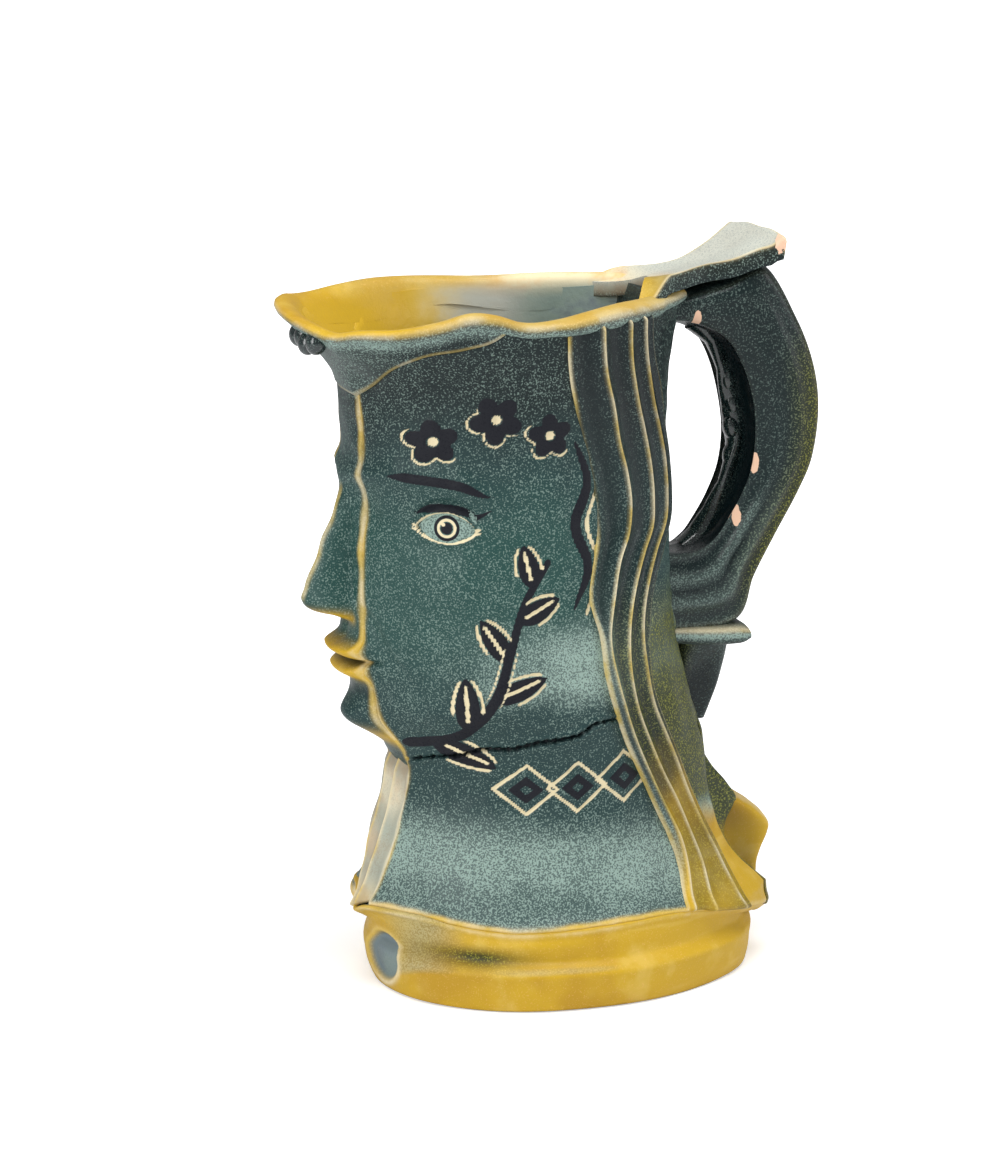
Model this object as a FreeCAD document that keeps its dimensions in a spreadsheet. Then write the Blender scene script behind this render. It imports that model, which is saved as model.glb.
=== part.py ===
import FreeCAD, Part
import Sketcher
import math
import os

# Face jug in glazed earthenware, built from slabs, coils and pulled pieces of clay.
# Millimetres. The foot stands on Z = 0, the face and the spout look along -X, the handle is at +X.

doc = FreeCAD.newDocument("face_jug")

# Driving dimensions. Heights are above the table. Front and back are reaches from the middle of the foot.
SIZES = {
    # plan of the wall at each level: height, reach to the front, half width at the middle, reach to the back
    "ledge_height": 28, "ledge_front": 87, "ledge_side": 61, "ledge_back": 77,
    "flare_height": 42, "flare_front": 80, "flare_side": 53, "flare_back": 63,
    "neck_height": 64, "neck_front": 72, "neck_side": 47.5, "neck_back": 54,
    "throat_height": 88, "throat_front": 68, "throat_side": 47, "throat_back": 50,
    "jaw_height": 114, "jaw_front": 80, "jaw_side": 50, "jaw_back": 46,
    "cheek_height": 145, "cheek_front": 85, "cheek_side": 50.5, "cheek_back": 43,
    "temple_height": 185, "temple_front": 86, "temple_side": 48.5, "temple_back": 41,
    "brow_height": 218, "brow_front": 86, "brow_side": 48.5, "brow_back": 40,
    "collar_height": 238, "collar_front": 89, "collar_side": 50.5, "collar_back": 41,
    "lip_height": 255, "lip_front": 104, "lip_side": 53, "lip_back": 43,
    "mouth_height": 272, "mouth_front": 118, "mouth_side": 56, "mouth_back": 45,
    "wall": 6, "face_half_width": 12, "face_round": 1.5, "nape_half_width": 18,
    "lip_half_width": 25, "lip_round": 6, "mouth_half_width": 40, "mouth_round": 15,
    # top edge of the jug, a long sag from the spout to the handle, and the seam under the flared collar
    "spout_tip": 112, "spout_tip_height": 267, "spout_heel": 101, "spout_heel_height": 261.5,
    "rim_sag_height": 260.5, "rim_back_height": 264, "rim_band": 6, "rim_tilt": 3.4,
    "seam_front_height": 236, "seam_rise": 4, "seam_length": 46,
    # foot
    "foot_front": 76, "foot_side": 60, "foot_back": 70, "foot_corner": 26, "foot_round": 7,
    "band_height": 11, "band_front": 79, "band_side": 64, "band_back": 73,
    "cove_height": 20, "cove_front": 77, "cove_side": 60.5, "cove_back": 71,
    "floor_radius": 48, "floor_thickness": 8,
    # fluted hair slabs, one on each side of the nape: where they start along the wall, and their width
    "hair_stand": 4, "hair_foot_stand": 1, "hair_bury": 2, "hair_flutes": 4, "flute_depth": 2.4,
    "ledge_hair": 30, "ledge_hair_width": 33, "flare_hair": 30, "flare_hair_width": 21,
    "neck_hair": 24, "neck_hair_width": 14.5, "throat_hair": 13, "throat_hair_width": 15,
    "jaw_hair": 2, "jaw_hair_width": 16, "cheek_hair": -4, "cheek_hair_width": 22,
    "temple_hair": -4, "temple_hair_width": 33, "brow_hair": -10, "brow_hair_width": 37,
    "collar_hair": -15, "collar_hair_width": 37, "lip_hair": -17, "lip_hair_width": 36,
    "mouth_hair": -18, "mouth_hair_width": 36,
    # face, on the common thirds: brow, foot of the nose, chin
    "face_centre": 83, "face_bury": 5,
    "chin_height": 105, "chin_high": 10, "chin_reach": 93, "chin_half_width": 12,
    "mouth_line_height": 128, "lip_high": 3.4, "lips_half_width": 11.5, "lip_gap": 0.4,
    "upper_lip_reach": 93.5, "lower_lip_reach": 92,
    "nose_foot_height": 145, "nose_foot_reach": 97, "nose_foot_half_width": 8,
    "nose_tip_height": 152, "nose_tip_reach": 104, "nose_tip_half_width": 9,
    "nose_bridge_height": 191, "nose_bridge_reach": 89, "nose_bridge_half_width": 5,
    "nose_taper": 0.5, "nose_round": 3,
    "brow_ridge_height": 199, "brow_ridge_reach": 90.5, "brow_ridge_high": 5,
    "eye_height": 184, "eye_at": 60, "eye_half_length": 10.5, "eye_half_height": 6, "eye_stand": 3, "eye_turn": 32,
    # handle
    "handle_half_width": 20, "handle_root": 28, "grip_top_height": 249.5, "grip_foot_height": 162, "grip_reach": 69,
    "grip_middle_height": 203, "grip_top_corner": 46, "grip_foot_corner": 50,
    "grip_upper_reach": 64.5, "grip_upper_height": 230, "grip_lower_reach": 62, "grip_lower_height": 177,
    "channel_depth": 3, "channel_half_width": 15,
    "handle_back_reach": 97.5, "handle_back_height": 210, "handle_top_reach": 70,
    "handle_foot_reach": 66, "handle_foot_height": 131, "handle_shoulder": 4.5, "handle_belly": 3,
    "strap_flute_bend": 102, "strap_flute_centre": -18, "strap_flute_height": 201,
    "strap_flute_depth": 3, "strap_flute_spacing": 11,
    "ridge_width": 6, "ridge_stand": 2, "ridge_bury": 4,
    "knot_radius": 4.2, "knot_spacing": 11, "knot_height": 201,
    "roll_high": 8, "roll_half_width": 22,
    "fin_top_reach": 62, "fin_tip_height": 91, "fin_tip_reach": 56, "fin_tip_half_width": 5, "fin_half_width": 18,
    # thumb rest
    "rest_root": 14, "rest_mouth": 30, "rest_tip": 80, "rest_root_height": 266, "rest_tip_height": 282,
    "rest_sag": 6.5, "rest_thickness": 7, "rest_root_half_width": 36, "rest_waist": 50, "rest_waist_half_width": 20,
    "rest_tip_half_width": 25,
    # spur at the nape
    "spur_top_height": 58, "spur_top_reach": 71, "spur_tip_height": 46, "spur_tip_reach": 83.5,
    "spur_waist_height": 33, "spur_waist_reach": 76.5, "spur_foot_reach": 78, "spur_half_width": 9,
    "drip_radius": 4.5, "drip_spacing": 8, "drip_reach": 102.5, "drip_height": 251,
    "dent_reach": 79, "dent_turn": 8, "dent_height": 12, "dent_half_length": 17, "dent_half_height": 8,
    "dent_depth": 4,
}
LEVELS = ["ledge", "flare", "neck", "throat", "jaw", "cheek", "temple", "brow", "collar"]
COLLAR_LEVELS = ["collar", "lip", "mouth"]

sheet = doc.addObject("Spreadsheet::Sheet", "Sizes")
for row, (alias, value) in enumerate(SIZES.items(), start=1):
    sheet.set(f"A{row}", alias.replace("_", " "))
    sheet.set(f"B{row}", str(value))
    sheet.setAlias(f"B{row}", alias)
doc.recompute()


def size(alias):
    return float(getattr(sheet, alias))


def number(expression):
    # The value of an expression over the sheet, used only to place geometry before it is constrained.
    value = sheet.evalExpression(expression)
    return float(getattr(value, "Value", value))


def fix_point(sketch, geometry, position, x, y, label):
    for kind, text, axis in (("DistanceX", x, -2), ("DistanceY", y, -1)):
        if text == "0":
            sketch.addConstraint(Sketcher.Constraint("PointOnObject", geometry, position, axis))
            continue
        index = sketch.addConstraint(Sketcher.Constraint(kind, -1, 1, geometry, position, number(text)))
        sketch.renameConstraint(index, f"{label}_{kind[-1].lower()}")
        sketch.setExpression(f"Constraints.{label}_{kind[-1].lower()}", text)


def add_edge(sketch, start, end, through):
    # Returns the edge's number in the sketch, and which of its ends is the start. Arcs run anticlockwise.
    first, last = FreeCAD.Vector(*start, 0), FreeCAD.Vector(*end, 0)
    if through is None:
        return sketch.addGeometry(Part.LineSegment(first, last)), 1
    round_edge = Part.Arc(first, FreeCAD.Vector(*through, 0), last).toShape().Curve
    centre = round_edge.Center
    turned = ((FreeCAD.Vector(*through, 0) - first).cross(last - first)).z > 0
    ends = [first, last] if turned else [last, first]
    angles = [math.atan2(p.y - centre.y, p.x - centre.x) for p in ends]
    if angles[1] < angles[0]:
        angles[1] += 2 * math.pi
    circle = Part.Circle(centre, FreeCAD.Vector(0, 0, 1), round_edge.Radius)
    return sketch.addGeometry(Part.ArcOfCircle(circle, *angles)), 1 if turned else 2


def outline(body, name, plane, offset, corners):
    # A closed sketch. Each corner is (x, y) for a straight edge to the next corner, or (x, y, through x,
    # through y) for an arc. All four are expressions over the sheet.
    sketch = body.newObject("Sketcher::SketchObject", name)
    base = next(f for f in body.Origin.OriginFeatures if f.Role == plane)
    sketch.AttachmentSupport = [(base, "")]
    sketch.MapMode = "FlatFace"
    if offset:
        sketch.setExpression("AttachmentOffset.Base.z", offset)
    at = [(number(c[0]), number(c[1])) for c in corners]
    edges = []
    for i, corner in enumerate(corners):
        through = (number(corner[2]), number(corner[3])) if len(corner) == 4 else None
        edges.append(add_edge(sketch, at[i], at[(i + 1) % len(at)], through))
    for i, (edge, start) in enumerate(edges):
        before, before_start = edges[i - 1]
        sketch.addConstraint(Sketcher.Constraint("Coincident", before, 3 - before_start, edge, start))
        fix_point(sketch, edge, start, corners[i][0], corners[i][1], f"corner_{i}")
        if len(corners[i]) == 4:
            point = sketch.addGeometry(Part.Point(FreeCAD.Vector(number(corners[i][2]), number(corners[i][3]), 0)), True)
            sketch.addConstraint(Sketcher.Constraint("PointOnObject", point, 1, edge))
            fix_point(sketch, point, 1, corners[i][2], corners[i][3], f"through_{i}")
    return sketch


def body(name):
    return doc.addObject("PartDesign::Body", name)


def loft(into, sketches, name="Loft", ruled=False):
    feature = into.newObject("PartDesign::AdditiveLoft", name)
    feature.Profile = sketches[0]
    feature.Sections = sketches[1:]
    feature.Ruled = ruled
    return feature


def pad(into, sketch, length, name="Pad"):
    # A pad of the given length, half of it on each side of the sketch.
    feature = into.newObject("PartDesign::Pad", name)
    feature.Profile = sketch
    feature.SideType = "Symmetric"
    feature.setExpression("Length", length)
    return feature


def boolean(kind, name, base, tool):
    made = doc.addObject(f"Part::{kind}", name)
    made.Base, made.Tool = base, tool
    return made


def fuse(name, shapes):
    made = doc.addObject("Part::MultiFuse", name)
    made.Shapes = shapes
    return made


def mirror(name, source):
    made = doc.addObject("Part::Mirroring", name)
    made.Source = source
    made.Normal = FreeCAD.Vector(0, 1, 0)
    return made


def sized(made, **expressions):
    for name, text in expressions.items():
        made.setExpression(name.replace("_", "."), text)
    return made


def ellipsoid(name, x, z, long, high, wide):
    made = doc.addObject("Part::Ellipsoid", name)
    sized(made, Radius1=high, Radius2=long, Radius3=wide, Placement_Base_x=x, Placement_Base_z=z)
    return made


ROUNDS = {"lip": ("Sizes.lip_half_width", "Sizes.lip_round"),
          "mouth": ("Sizes.mouth_half_width", "Sizes.mouth_round")}


def plan(into, name, level, inset):
    # The wall's outline at one level: a gentle arc at the face, one arc along each side, flat at the nape.
    face, bulge = ROUNDS.get(level, ("Sizes.face_half_width", "Sizes.face_round"))
    face, nape = f"({face} - {inset} / 2)", f"(Sizes.nape_half_width - {inset} / 2)"
    front = f"-(Sizes.{level}_front - {inset})"
    corner = f"{front} + {bulge}"
    back = f"Sizes.{level}_back - {inset}"
    middle = f"(Sizes.{level}_back - Sizes.{level}_front) / 2"
    side = f"Sizes.{level}_side - {inset}"
    corners = [(corner, f"-{face}", middle, f"-({side})"), (back, f"-{nape}"),
               (back, nape, middle, side), (corner, face, front, "0")]
    return outline(into, name, "XY_Plane", f"Sizes.{level}_height", corners)


def wall_form(name, inset):
    form = body(name)
    loft(form, [plan(form, f"{name}_{level}", level, inset) for level in LEVELS], f"{name}_sides")
    loft(form, [plan(form, f"{name}_flared_{level}", level, inset) for level in COLLAR_LEVELS], f"{name}_flare")
    return form


def slab_tool(name, plane, corners, length):
    tool = body(name)
    pad(tool, outline(tool, f"{name}_outline", plane, None, corners), length)
    return tool


SPAN = "400 mm"
FAR, HIGH = "200", "330"
outer = wall_form("outer_form", "0")
inner = wall_form("inner_form", "Sizes.wall")
shell = boolean("Cut", "shell", outer, inner)

# Cutting tools that part the shell into its slabs. The rim leans over: its left side is the higher one.
rim_front, rim_back = "-(Sizes.mouth_front + 10)", "Sizes.mouth_back + 10"
sag_at = "(Sizes.mouth_back - Sizes.mouth_front) / 2"


def rim_tool(name, lower):
    tool = slab_tool(name, "XZ_Plane", [
        (rim_front, f"Sizes.spout_tip_height{lower}"), ("-Sizes.spout_tip", f"Sizes.spout_tip_height{lower}"),
        ("-Sizes.spout_heel", f"Sizes.spout_heel_height{lower}", sag_at, f"Sizes.rim_sag_height{lower}"),
        (rim_back, f"Sizes.rim_back_height{lower}"), (rim_back, HIGH), (rim_front, HIGH)], SPAN)
    tool.Placement.Rotation = FreeCAD.Rotation(FreeCAD.Vector(1, 0, 0), -size("rim_tilt"))
    sized(tool, Placement_Base_y="-sin(Sizes.rim_tilt * 1 deg) * Sizes.rim_sag_height",
          Placement_Base_z="(1 - cos(Sizes.rim_tilt * 1 deg)) * Sizes.rim_sag_height")
    return tool


above_rim = rim_tool("above_rim", "")
above_walls = rim_tool("above_walls", " - Sizes.rim_band")
seam_end = "Sizes.seam_length - Sizes.collar_front"
above_seam = slab_tool("above_seam", "XZ_Plane", [
    (f"-{FAR}", "Sizes.seam_front_height"),
    ("-Sizes.collar_front", "Sizes.seam_front_height",
     "Sizes.seam_length / 2 - Sizes.collar_front",
     "(Sizes.seam_front_height + Sizes.rim_sag_height) / 2 + Sizes.seam_rise"),
    (seam_end, "Sizes.rim_sag_height"), (seam_end, HIGH), (f"-{FAR}", HIGH)], SPAN)
front_tool = slab_tool("front_tool", "XY_Plane", [
    (f"-{FAR}", "-Sizes.face_half_width"), ("0", "-Sizes.face_half_width"),
    ("0", "Sizes.face_half_width"), (f"-{FAR}", "Sizes.face_half_width")], "700 mm")
back_tool = slab_tool("back_tool", "XY_Plane", [
    ("0", "-Sizes.nape_half_width"), (FAR, "-Sizes.nape_half_width"),
    (FAR, "Sizes.nape_half_width"), ("0", "Sizes.nape_half_width")], "700 mm")
left_tool = slab_tool("left_tool", "XY_Plane", [
    (f"-{FAR}", f"-{FAR}"), (FAR, f"-{FAR}"), (FAR, "0"), (f"-{FAR}", "0")], "700 mm")
throat_tool = slab_tool("throat_tool", "XZ_Plane", [
    (f"-{FAR}", "0"), (FAR, "0"), (FAR, "Sizes.throat_height"), (f"-{FAR}", "Sizes.throat_height")], SPAN)

jug = boolean("Cut", "trimmed_shell", shell, above_rim)
rim_band = boolean("Common", "rim_band", jug, above_walls)
walls = boolean("Cut", "walls", jug, above_walls)
collar = boolean("Common", "spout_collar", walls, above_seam)
sides = boolean("Cut", "sides", walls, above_seam)
face_strip = boolean("Common", "face_strip", sides, front_tool)
neck_front = boolean("Common", "neck_front", face_strip, throat_tool)
face_plate = boolean("Cut", "face_plate", face_strip, throat_tool)
nape = boolean("Common", "nape_wall", sides, back_tool)
cheeks = boolean("Cut", "cheeks", boolean("Cut", "cheeks_and_nape", sides, front_tool), back_tool)
left_wall = boolean("Common", "left_wall", cheeks, left_tool)
right_wall = boolean("Cut", "right_wall", cheeks, left_tool)


# Foot: a slab band with a flat underside, and the floor set into it.
def foot_section(level, height, front, side, back, width, bulge):
    middle = f"({back} - {front}) / 2"
    corner = f"{bulge} - {front}"
    return outline(foot, f"foot_{level}", "XY_Plane", height, [
        (corner, f"-{width}", middle, f"-{side}"), (back, f"-{width}"),
        (back, width, middle, side), (corner, width, f"-{front}", "0")])


foot = body("foot_form")
loft(foot, [
    foot_section("rest", None, "Sizes.foot_front", "Sizes.foot_side", "Sizes.foot_back", "Sizes.foot_corner",
                 "Sizes.foot_round"),
    foot_section("swell", "Sizes.band_height", "Sizes.band_front", "Sizes.band_side", "Sizes.band_back",
                 "Sizes.foot_corner", "Sizes.foot_round"),
    foot_section("cove", "Sizes.cove_height", "Sizes.cove_front", "Sizes.cove_side", "Sizes.cove_back",
                 "Sizes.foot_corner", "Sizes.foot_round"),
    foot_section("ledge", "Sizes.ledge_height", "Sizes.ledge_front", "Sizes.ledge_side", "Sizes.ledge_back",
                 "Sizes.nape_half_width", "Sizes.face_round")], "foot_sides")
well = doc.addObject("Part::Cylinder", "floor_well")
sized(well, Radius="Sizes.floor_radius", Height="Sizes.ledge_height")
dent = doc.addObject("Part::Ellipsoid", "thumb_dent")
dent.Placement.Rotation = FreeCAD.Rotation(FreeCAD.Vector(0, 0, 1), size("dent_turn"))
sized(dent, Radius1="Sizes.dent_half_height", Radius2="Sizes.dent_depth", Radius3="Sizes.dent_half_length",
      Placement_Base_x="-Sizes.dent_reach * cos(Sizes.dent_turn * 1 deg)",
      Placement_Base_y="-Sizes.dent_reach * sin(Sizes.dent_turn * 1 deg)", Placement_Base_z="Sizes.dent_height")
foot_band = boolean("Cut", "foot_band", boolean("Cut", "foot_with_well", foot, well), dent)
floor_disc = doc.addObject("Part::Cylinder", "floor_disc")
sized(floor_disc, Radius="Sizes.floor_radius", Height="Sizes.floor_thickness")


# Hair: a fluted slab on each side of the nape, seated on the wall from the ledge to the rim.
def wall_side(level, x):
    # The wall's half width at x, on the arc from the widest place to the nape's corner.
    drop = f"(Sizes.{level}_side - Sizes.nape_half_width)"
    reach = f"((Sizes.{level}_back + Sizes.{level}_front) / 2)"
    radius = f"(({reach} ^ 2 + {drop} ^ 2) / (2 * {drop}))"
    middle = f"((Sizes.{level}_back - Sizes.{level}_front) / 2)"
    return f"(Sizes.{level}_side - {radius} + sqrt({radius} ^ 2 - ({x} - {middle}) ^ 2))"


def hair_section(into, level):
    stand = "Sizes.hair_foot_stand" if level == "ledge" else "Sizes.hair_stand"
    step = f"Sizes.{level}_hair_width / Sizes.hair_flutes"
    arrises = []
    for k in range(int(size("hair_flutes")) + 1):
        x = f"(Sizes.{level}_hair + {k} * {step})"
        arrises.append((x, f"(-{wall_side(level, x)} - {stand})"))
    corners = []
    for (x, y), (next_x, next_y) in zip(arrises, arrises[1:]):
        corners.append((x, y, f"({x} + {next_x}) / 2", f"({y} + {next_y}) / 2 + Sizes.flute_depth"))
    seat = f" + {stand} + Sizes.hair_bury"
    corners.append(arrises[-1])
    corners.append((arrises[-1][0], arrises[-1][1] + seat))
    corners.append((arrises[0][0], arrises[0][1] + seat))
    return outline(into, f"hair_{level}", "XY_Plane", f"Sizes.{level}_height", corners)


hair_form = body("hair_form")
loft(hair_form, [hair_section(hair_form, level) for level in LEVELS + COLLAR_LEVELS[1:]], "hair_sides")
hair_on_wall = boolean("Cut", "hair_on_wall", hair_form, outer)
left_hair = boolean("Cut", "left_hair", hair_on_wall, above_rim)
right_hair = boolean("Cut", "right_hair", mirror("right_hair_on_wall", hair_on_wall), above_rim)

# Face pieces, all let into the front of the shell and cut to its outside.
brow = boolean("Cut", "brow_ridge", ellipsoid(
    "brow_form", "-Sizes.face_centre", "Sizes.brow_ridge_height",
    "Sizes.brow_ridge_reach - Sizes.face_centre", "Sizes.brow_ridge_high", "Sizes.face_half_width"), outer)
upper_lip = boolean("Cut", "upper_lip", ellipsoid(
    "upper_lip_form", "-Sizes.face_centre", "Sizes.mouth_line_height + Sizes.lip_gap / 2 + Sizes.lip_high",
    "Sizes.upper_lip_reach - Sizes.face_centre", "Sizes.lip_high", "Sizes.lips_half_width"), outer)
lower_lip = boolean("Cut", "lower_lip", ellipsoid(
    "lower_lip_form", "-Sizes.face_centre", "Sizes.mouth_line_height - Sizes.lip_gap / 2 - Sizes.lip_high",
    "Sizes.lower_lip_reach - Sizes.face_centre", "Sizes.lip_high", "Sizes.lips_half_width"), outer)
chin = boolean("Cut", "chin", ellipsoid(
    "chin_form", "-Sizes.face_centre + Sizes.face_bury", "Sizes.chin_height",
    "Sizes.chin_reach - Sizes.face_centre + Sizes.face_bury", "Sizes.chin_high", "Sizes.chin_half_width"), outer)


def nose_section(part):
    width, reach = f"Sizes.nose_{part}_half_width", f"Sizes.nose_{part}_reach"
    seat, tip = "Sizes.face_bury - Sizes.brow_front", f"Sizes.nose_round - {reach}"
    return outline(nose_form, f"nose_{part}", "XY_Plane", f"Sizes.nose_{part}_height", [
        (seat, f"-{width}"), (seat, width),
        (tip, f"{width} * Sizes.nose_taper", f"-{reach}", "0"), (tip, f"-{width} * Sizes.nose_taper")])


nose_form = body("nose_form")
loft(nose_form, [nose_section("foot"), nose_section("tip"), nose_section("bridge")], "nose_sides", ruled=True)
nose = boolean("Cut", "nose", nose_form, outer)

eye_form = ellipsoid("eye_form", "-Sizes.eye_at", "Sizes.eye_height", "Sizes.eye_half_length",
                     "Sizes.eye_half_height", "Sizes.eye_stand")
eye_form.Placement.Rotation = FreeCAD.Rotation(FreeCAD.Vector(0, 0, 1), -size("eye_turn"))
sized(eye_form, Placement_Base_y=f"-{wall_side('temple', '(-Sizes.eye_at)')}")
left_eye = boolean("Cut", "left_eye", eye_form, outer)
right_eye = mirror("right_eye", left_eye)

# Thumb rest: a sagging tongue from the back of the rim to the top of the handle.
rest_under = "Sizes.rest_thickness"
rest_middle = "(Sizes.rest_root + Sizes.rest_tip) / 2"
rest_mean = "(Sizes.rest_root_height + Sizes.rest_tip_height) / 2 - Sizes.rest_sag"
rest_side = slab_tool("rest_side", "XZ_Plane", [
    ("Sizes.rest_root", f"Sizes.rest_root_height - {rest_under}", rest_middle, f"{rest_mean} - {rest_under}"),
    ("Sizes.rest_tip", f"Sizes.rest_tip_height - {rest_under}"),
    ("Sizes.rest_tip", "Sizes.rest_tip_height", rest_middle, rest_mean),
    ("Sizes.rest_root", "Sizes.rest_root_height")], SPAN)
above_rest = slab_tool("above_rest", "XZ_Plane", [
    ("Sizes.rest_root", f"Sizes.rest_root_height - {rest_under}", rest_middle, f"{rest_mean} - {rest_under}"),
    ("Sizes.rest_tip", f"Sizes.rest_tip_height - {rest_under}"),
    ("Sizes.rest_tip", HIGH), ("Sizes.rest_root", HIGH)], SPAN)
rest_plan = slab_tool("rest_plan", "XY_Plane", [
    ("Sizes.rest_root", "-Sizes.rest_root_half_width", "Sizes.rest_waist", "-Sizes.rest_waist_half_width"),
    ("Sizes.rest_tip", "-Sizes.rest_tip_half_width"), ("Sizes.rest_tip", "Sizes.rest_tip_half_width",
                                                       "Sizes.rest_waist", "Sizes.rest_waist_half_width"),
    ("Sizes.rest_root", "Sizes.rest_root_half_width", "Sizes.rest_mouth", "0")], "700 mm")
rest_seat = fuse("rest_seat", [jug, left_hair, right_hair])
thumb_rest = boolean("Cut", "thumb_rest", boolean("Common", "rest_form", rest_side, rest_plan), rest_seat)

# Handle: a strap bent round the finger opening, fluted on its sides, its inner face channelled and ridged.
strap_form = body("strap_form")
pad(strap_form, outline(strap_form, "strap_outline", "XZ_Plane", None, [
    ("Sizes.handle_root", "Sizes.handle_foot_height"),
    ("Sizes.handle_foot_reach", "Sizes.handle_foot_height",
     "(Sizes.handle_foot_reach + Sizes.handle_back_reach) / 2 + Sizes.handle_belly",
     "(Sizes.handle_foot_height + Sizes.handle_back_height) / 2"),
    ("Sizes.handle_back_reach", "Sizes.handle_back_height",
     "(Sizes.handle_back_reach + Sizes.handle_top_reach) / 2 + Sizes.handle_shoulder",
     "(Sizes.handle_back_height + Sizes.rest_tip_height) / 2"),
    ("Sizes.handle_top_reach", "Sizes.rest_tip_height"),
    ("Sizes.handle_root", "Sizes.rest_tip_height")]), "2 * Sizes.handle_half_width")
grip_form = slab_tool("grip_form", "XZ_Plane", [
    ("Sizes.handle_root", "Sizes.grip_foot_height"),
    ("Sizes.grip_foot_corner", "Sizes.grip_foot_height", "Sizes.grip_lower_reach", "Sizes.grip_lower_height"),
    ("Sizes.grip_reach", "Sizes.grip_middle_height", "Sizes.grip_upper_reach", "Sizes.grip_upper_height"),
    ("Sizes.grip_top_corner", "Sizes.grip_top_height"), ("Sizes.handle_root", "Sizes.grip_top_height")], SPAN)
channel_form = slab_tool("channel_form", "XZ_Plane", [
    ("Sizes.handle_root", "Sizes.grip_foot_height"),
    ("Sizes.grip_foot_corner", "Sizes.grip_foot_height",
     "Sizes.grip_lower_reach + Sizes.channel_depth", "Sizes.grip_lower_height"),
    ("Sizes.grip_reach + Sizes.channel_depth", "Sizes.grip_middle_height",
     "Sizes.grip_upper_reach + Sizes.channel_depth", "Sizes.grip_upper_height"),
    ("Sizes.grip_top_corner", "Sizes.grip_top_height"), ("Sizes.handle_root", "Sizes.grip_top_height")],
    "2 * Sizes.channel_half_width")
opening = fuse("finger_opening", [grip_form, channel_form])


def flute_ring(name, across, side):
    ring = doc.addObject("Part::Torus", name)
    ring.Placement.Rotation = FreeCAD.Rotation(FreeCAD.Vector(1, 0, 0), 90)
    return sized(ring, Radius1=f"Sizes.strap_flute_bend {across} Sizes.strap_flute_spacing / 2",
                 Radius2="Sizes.strap_flute_depth", Placement_Base_x="Sizes.strap_flute_centre",
                 Placement_Base_y=f"{side} * Sizes.handle_half_width",
                 Placement_Base_z="Sizes.strap_flute_height")


flute_rings = fuse("flute_rings", [
    flute_ring("near_inner_flute", "-", -1), flute_ring("near_outer_flute", "+", -1),
    flute_ring("far_inner_flute", "-", 1), flute_ring("far_outer_flute", "+", 1)])
roll_middle = "Sizes.handle_foot_height - Sizes.roll_high / 2"
roll_form = body("roll_form")
pad(roll_form, outline(roll_form, "roll_outline", "XZ_Plane", None, [
    ("Sizes.handle_root", "Sizes.handle_foot_height - Sizes.roll_high"),
    ("Sizes.handle_foot_reach", "Sizes.handle_foot_height - Sizes.roll_high",
     "Sizes.handle_foot_reach + Sizes.roll_high / 2", roll_middle),
    ("Sizes.handle_foot_reach", "Sizes.handle_foot_height"),
    ("Sizes.handle_root", "Sizes.handle_foot_height")]), "2 * Sizes.roll_half_width")
body_and_hair = fuse("body_and_hair", [outer, left_hair, right_hair])
handle_roll = boolean("Cut", "handle_roll", roll_form, body_and_hair)
strap = boolean("Cut", "handle_strap", boolean("Cut", "strap_fluted", boolean(
    "Cut", "strap_bent", strap_form, opening), flute_rings), fuse("strap_seat", [body_and_hair, above_rest]))

ridge_form = body("ridge_form")
pad(ridge_form, outline(ridge_form, "ridge_outline", "XZ_Plane", None, [
    ("Sizes.grip_foot_corner", "Sizes.grip_foot_height",
     "Sizes.grip_lower_reach + Sizes.ridge_bury", "Sizes.grip_lower_height"),
    ("Sizes.grip_reach + Sizes.ridge_bury", "Sizes.grip_middle_height",
     "Sizes.grip_upper_reach + Sizes.ridge_bury", "Sizes.grip_upper_height"),
    ("Sizes.grip_top_corner", "Sizes.grip_top_height",
     "Sizes.grip_upper_reach - Sizes.ridge_stand", "Sizes.grip_upper_height"),
    ("Sizes.grip_reach - Sizes.ridge_stand", "Sizes.grip_middle_height",
     "Sizes.grip_lower_reach - Sizes.ridge_stand", "Sizes.grip_lower_height")]), "Sizes.ridge_width")
knots = []
for k in (-1, 0, 1):
    knot = doc.addObject("Part::Sphere", f"knot_{k + 2}")
    knots.append(sized(knot, Radius="Sizes.knot_radius",
                       Placement_Base_x="Sizes.grip_reach - Sizes.ridge_stand / 2",
                       Placement_Base_z=f"Sizes.knot_height + {k} * Sizes.knot_spacing"))
handle_ridge = boolean("Cut", "handle_ridge", fuse("ridge_and_knots", [ridge_form] + knots), strap)

fin_form = body("fin_form")
fin_low = [("Sizes.handle_root", "-Sizes.fin_tip_half_width"), ("Sizes.fin_tip_reach", "-Sizes.fin_tip_half_width"),
           ("Sizes.fin_tip_reach", "Sizes.fin_tip_half_width"), ("Sizes.handle_root", "Sizes.fin_tip_half_width")]
fin_high = [("Sizes.handle_root", "-Sizes.fin_half_width"), ("Sizes.fin_top_reach", "-Sizes.fin_half_width"),
            ("Sizes.fin_top_reach", "Sizes.fin_half_width"), ("Sizes.handle_root", "Sizes.fin_half_width")]
loft(fin_form, [
    outline(fin_form, "fin_foot", "XY_Plane", "Sizes.fin_tip_height", fin_low),
    outline(fin_form, "fin_head", "XY_Plane", "Sizes.handle_foot_height - Sizes.roll_high", fin_high)],
    "fin_sides", ruled=True)
handle_fin = boolean("Cut", "handle_fin", fin_form, body_and_hair)

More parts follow.
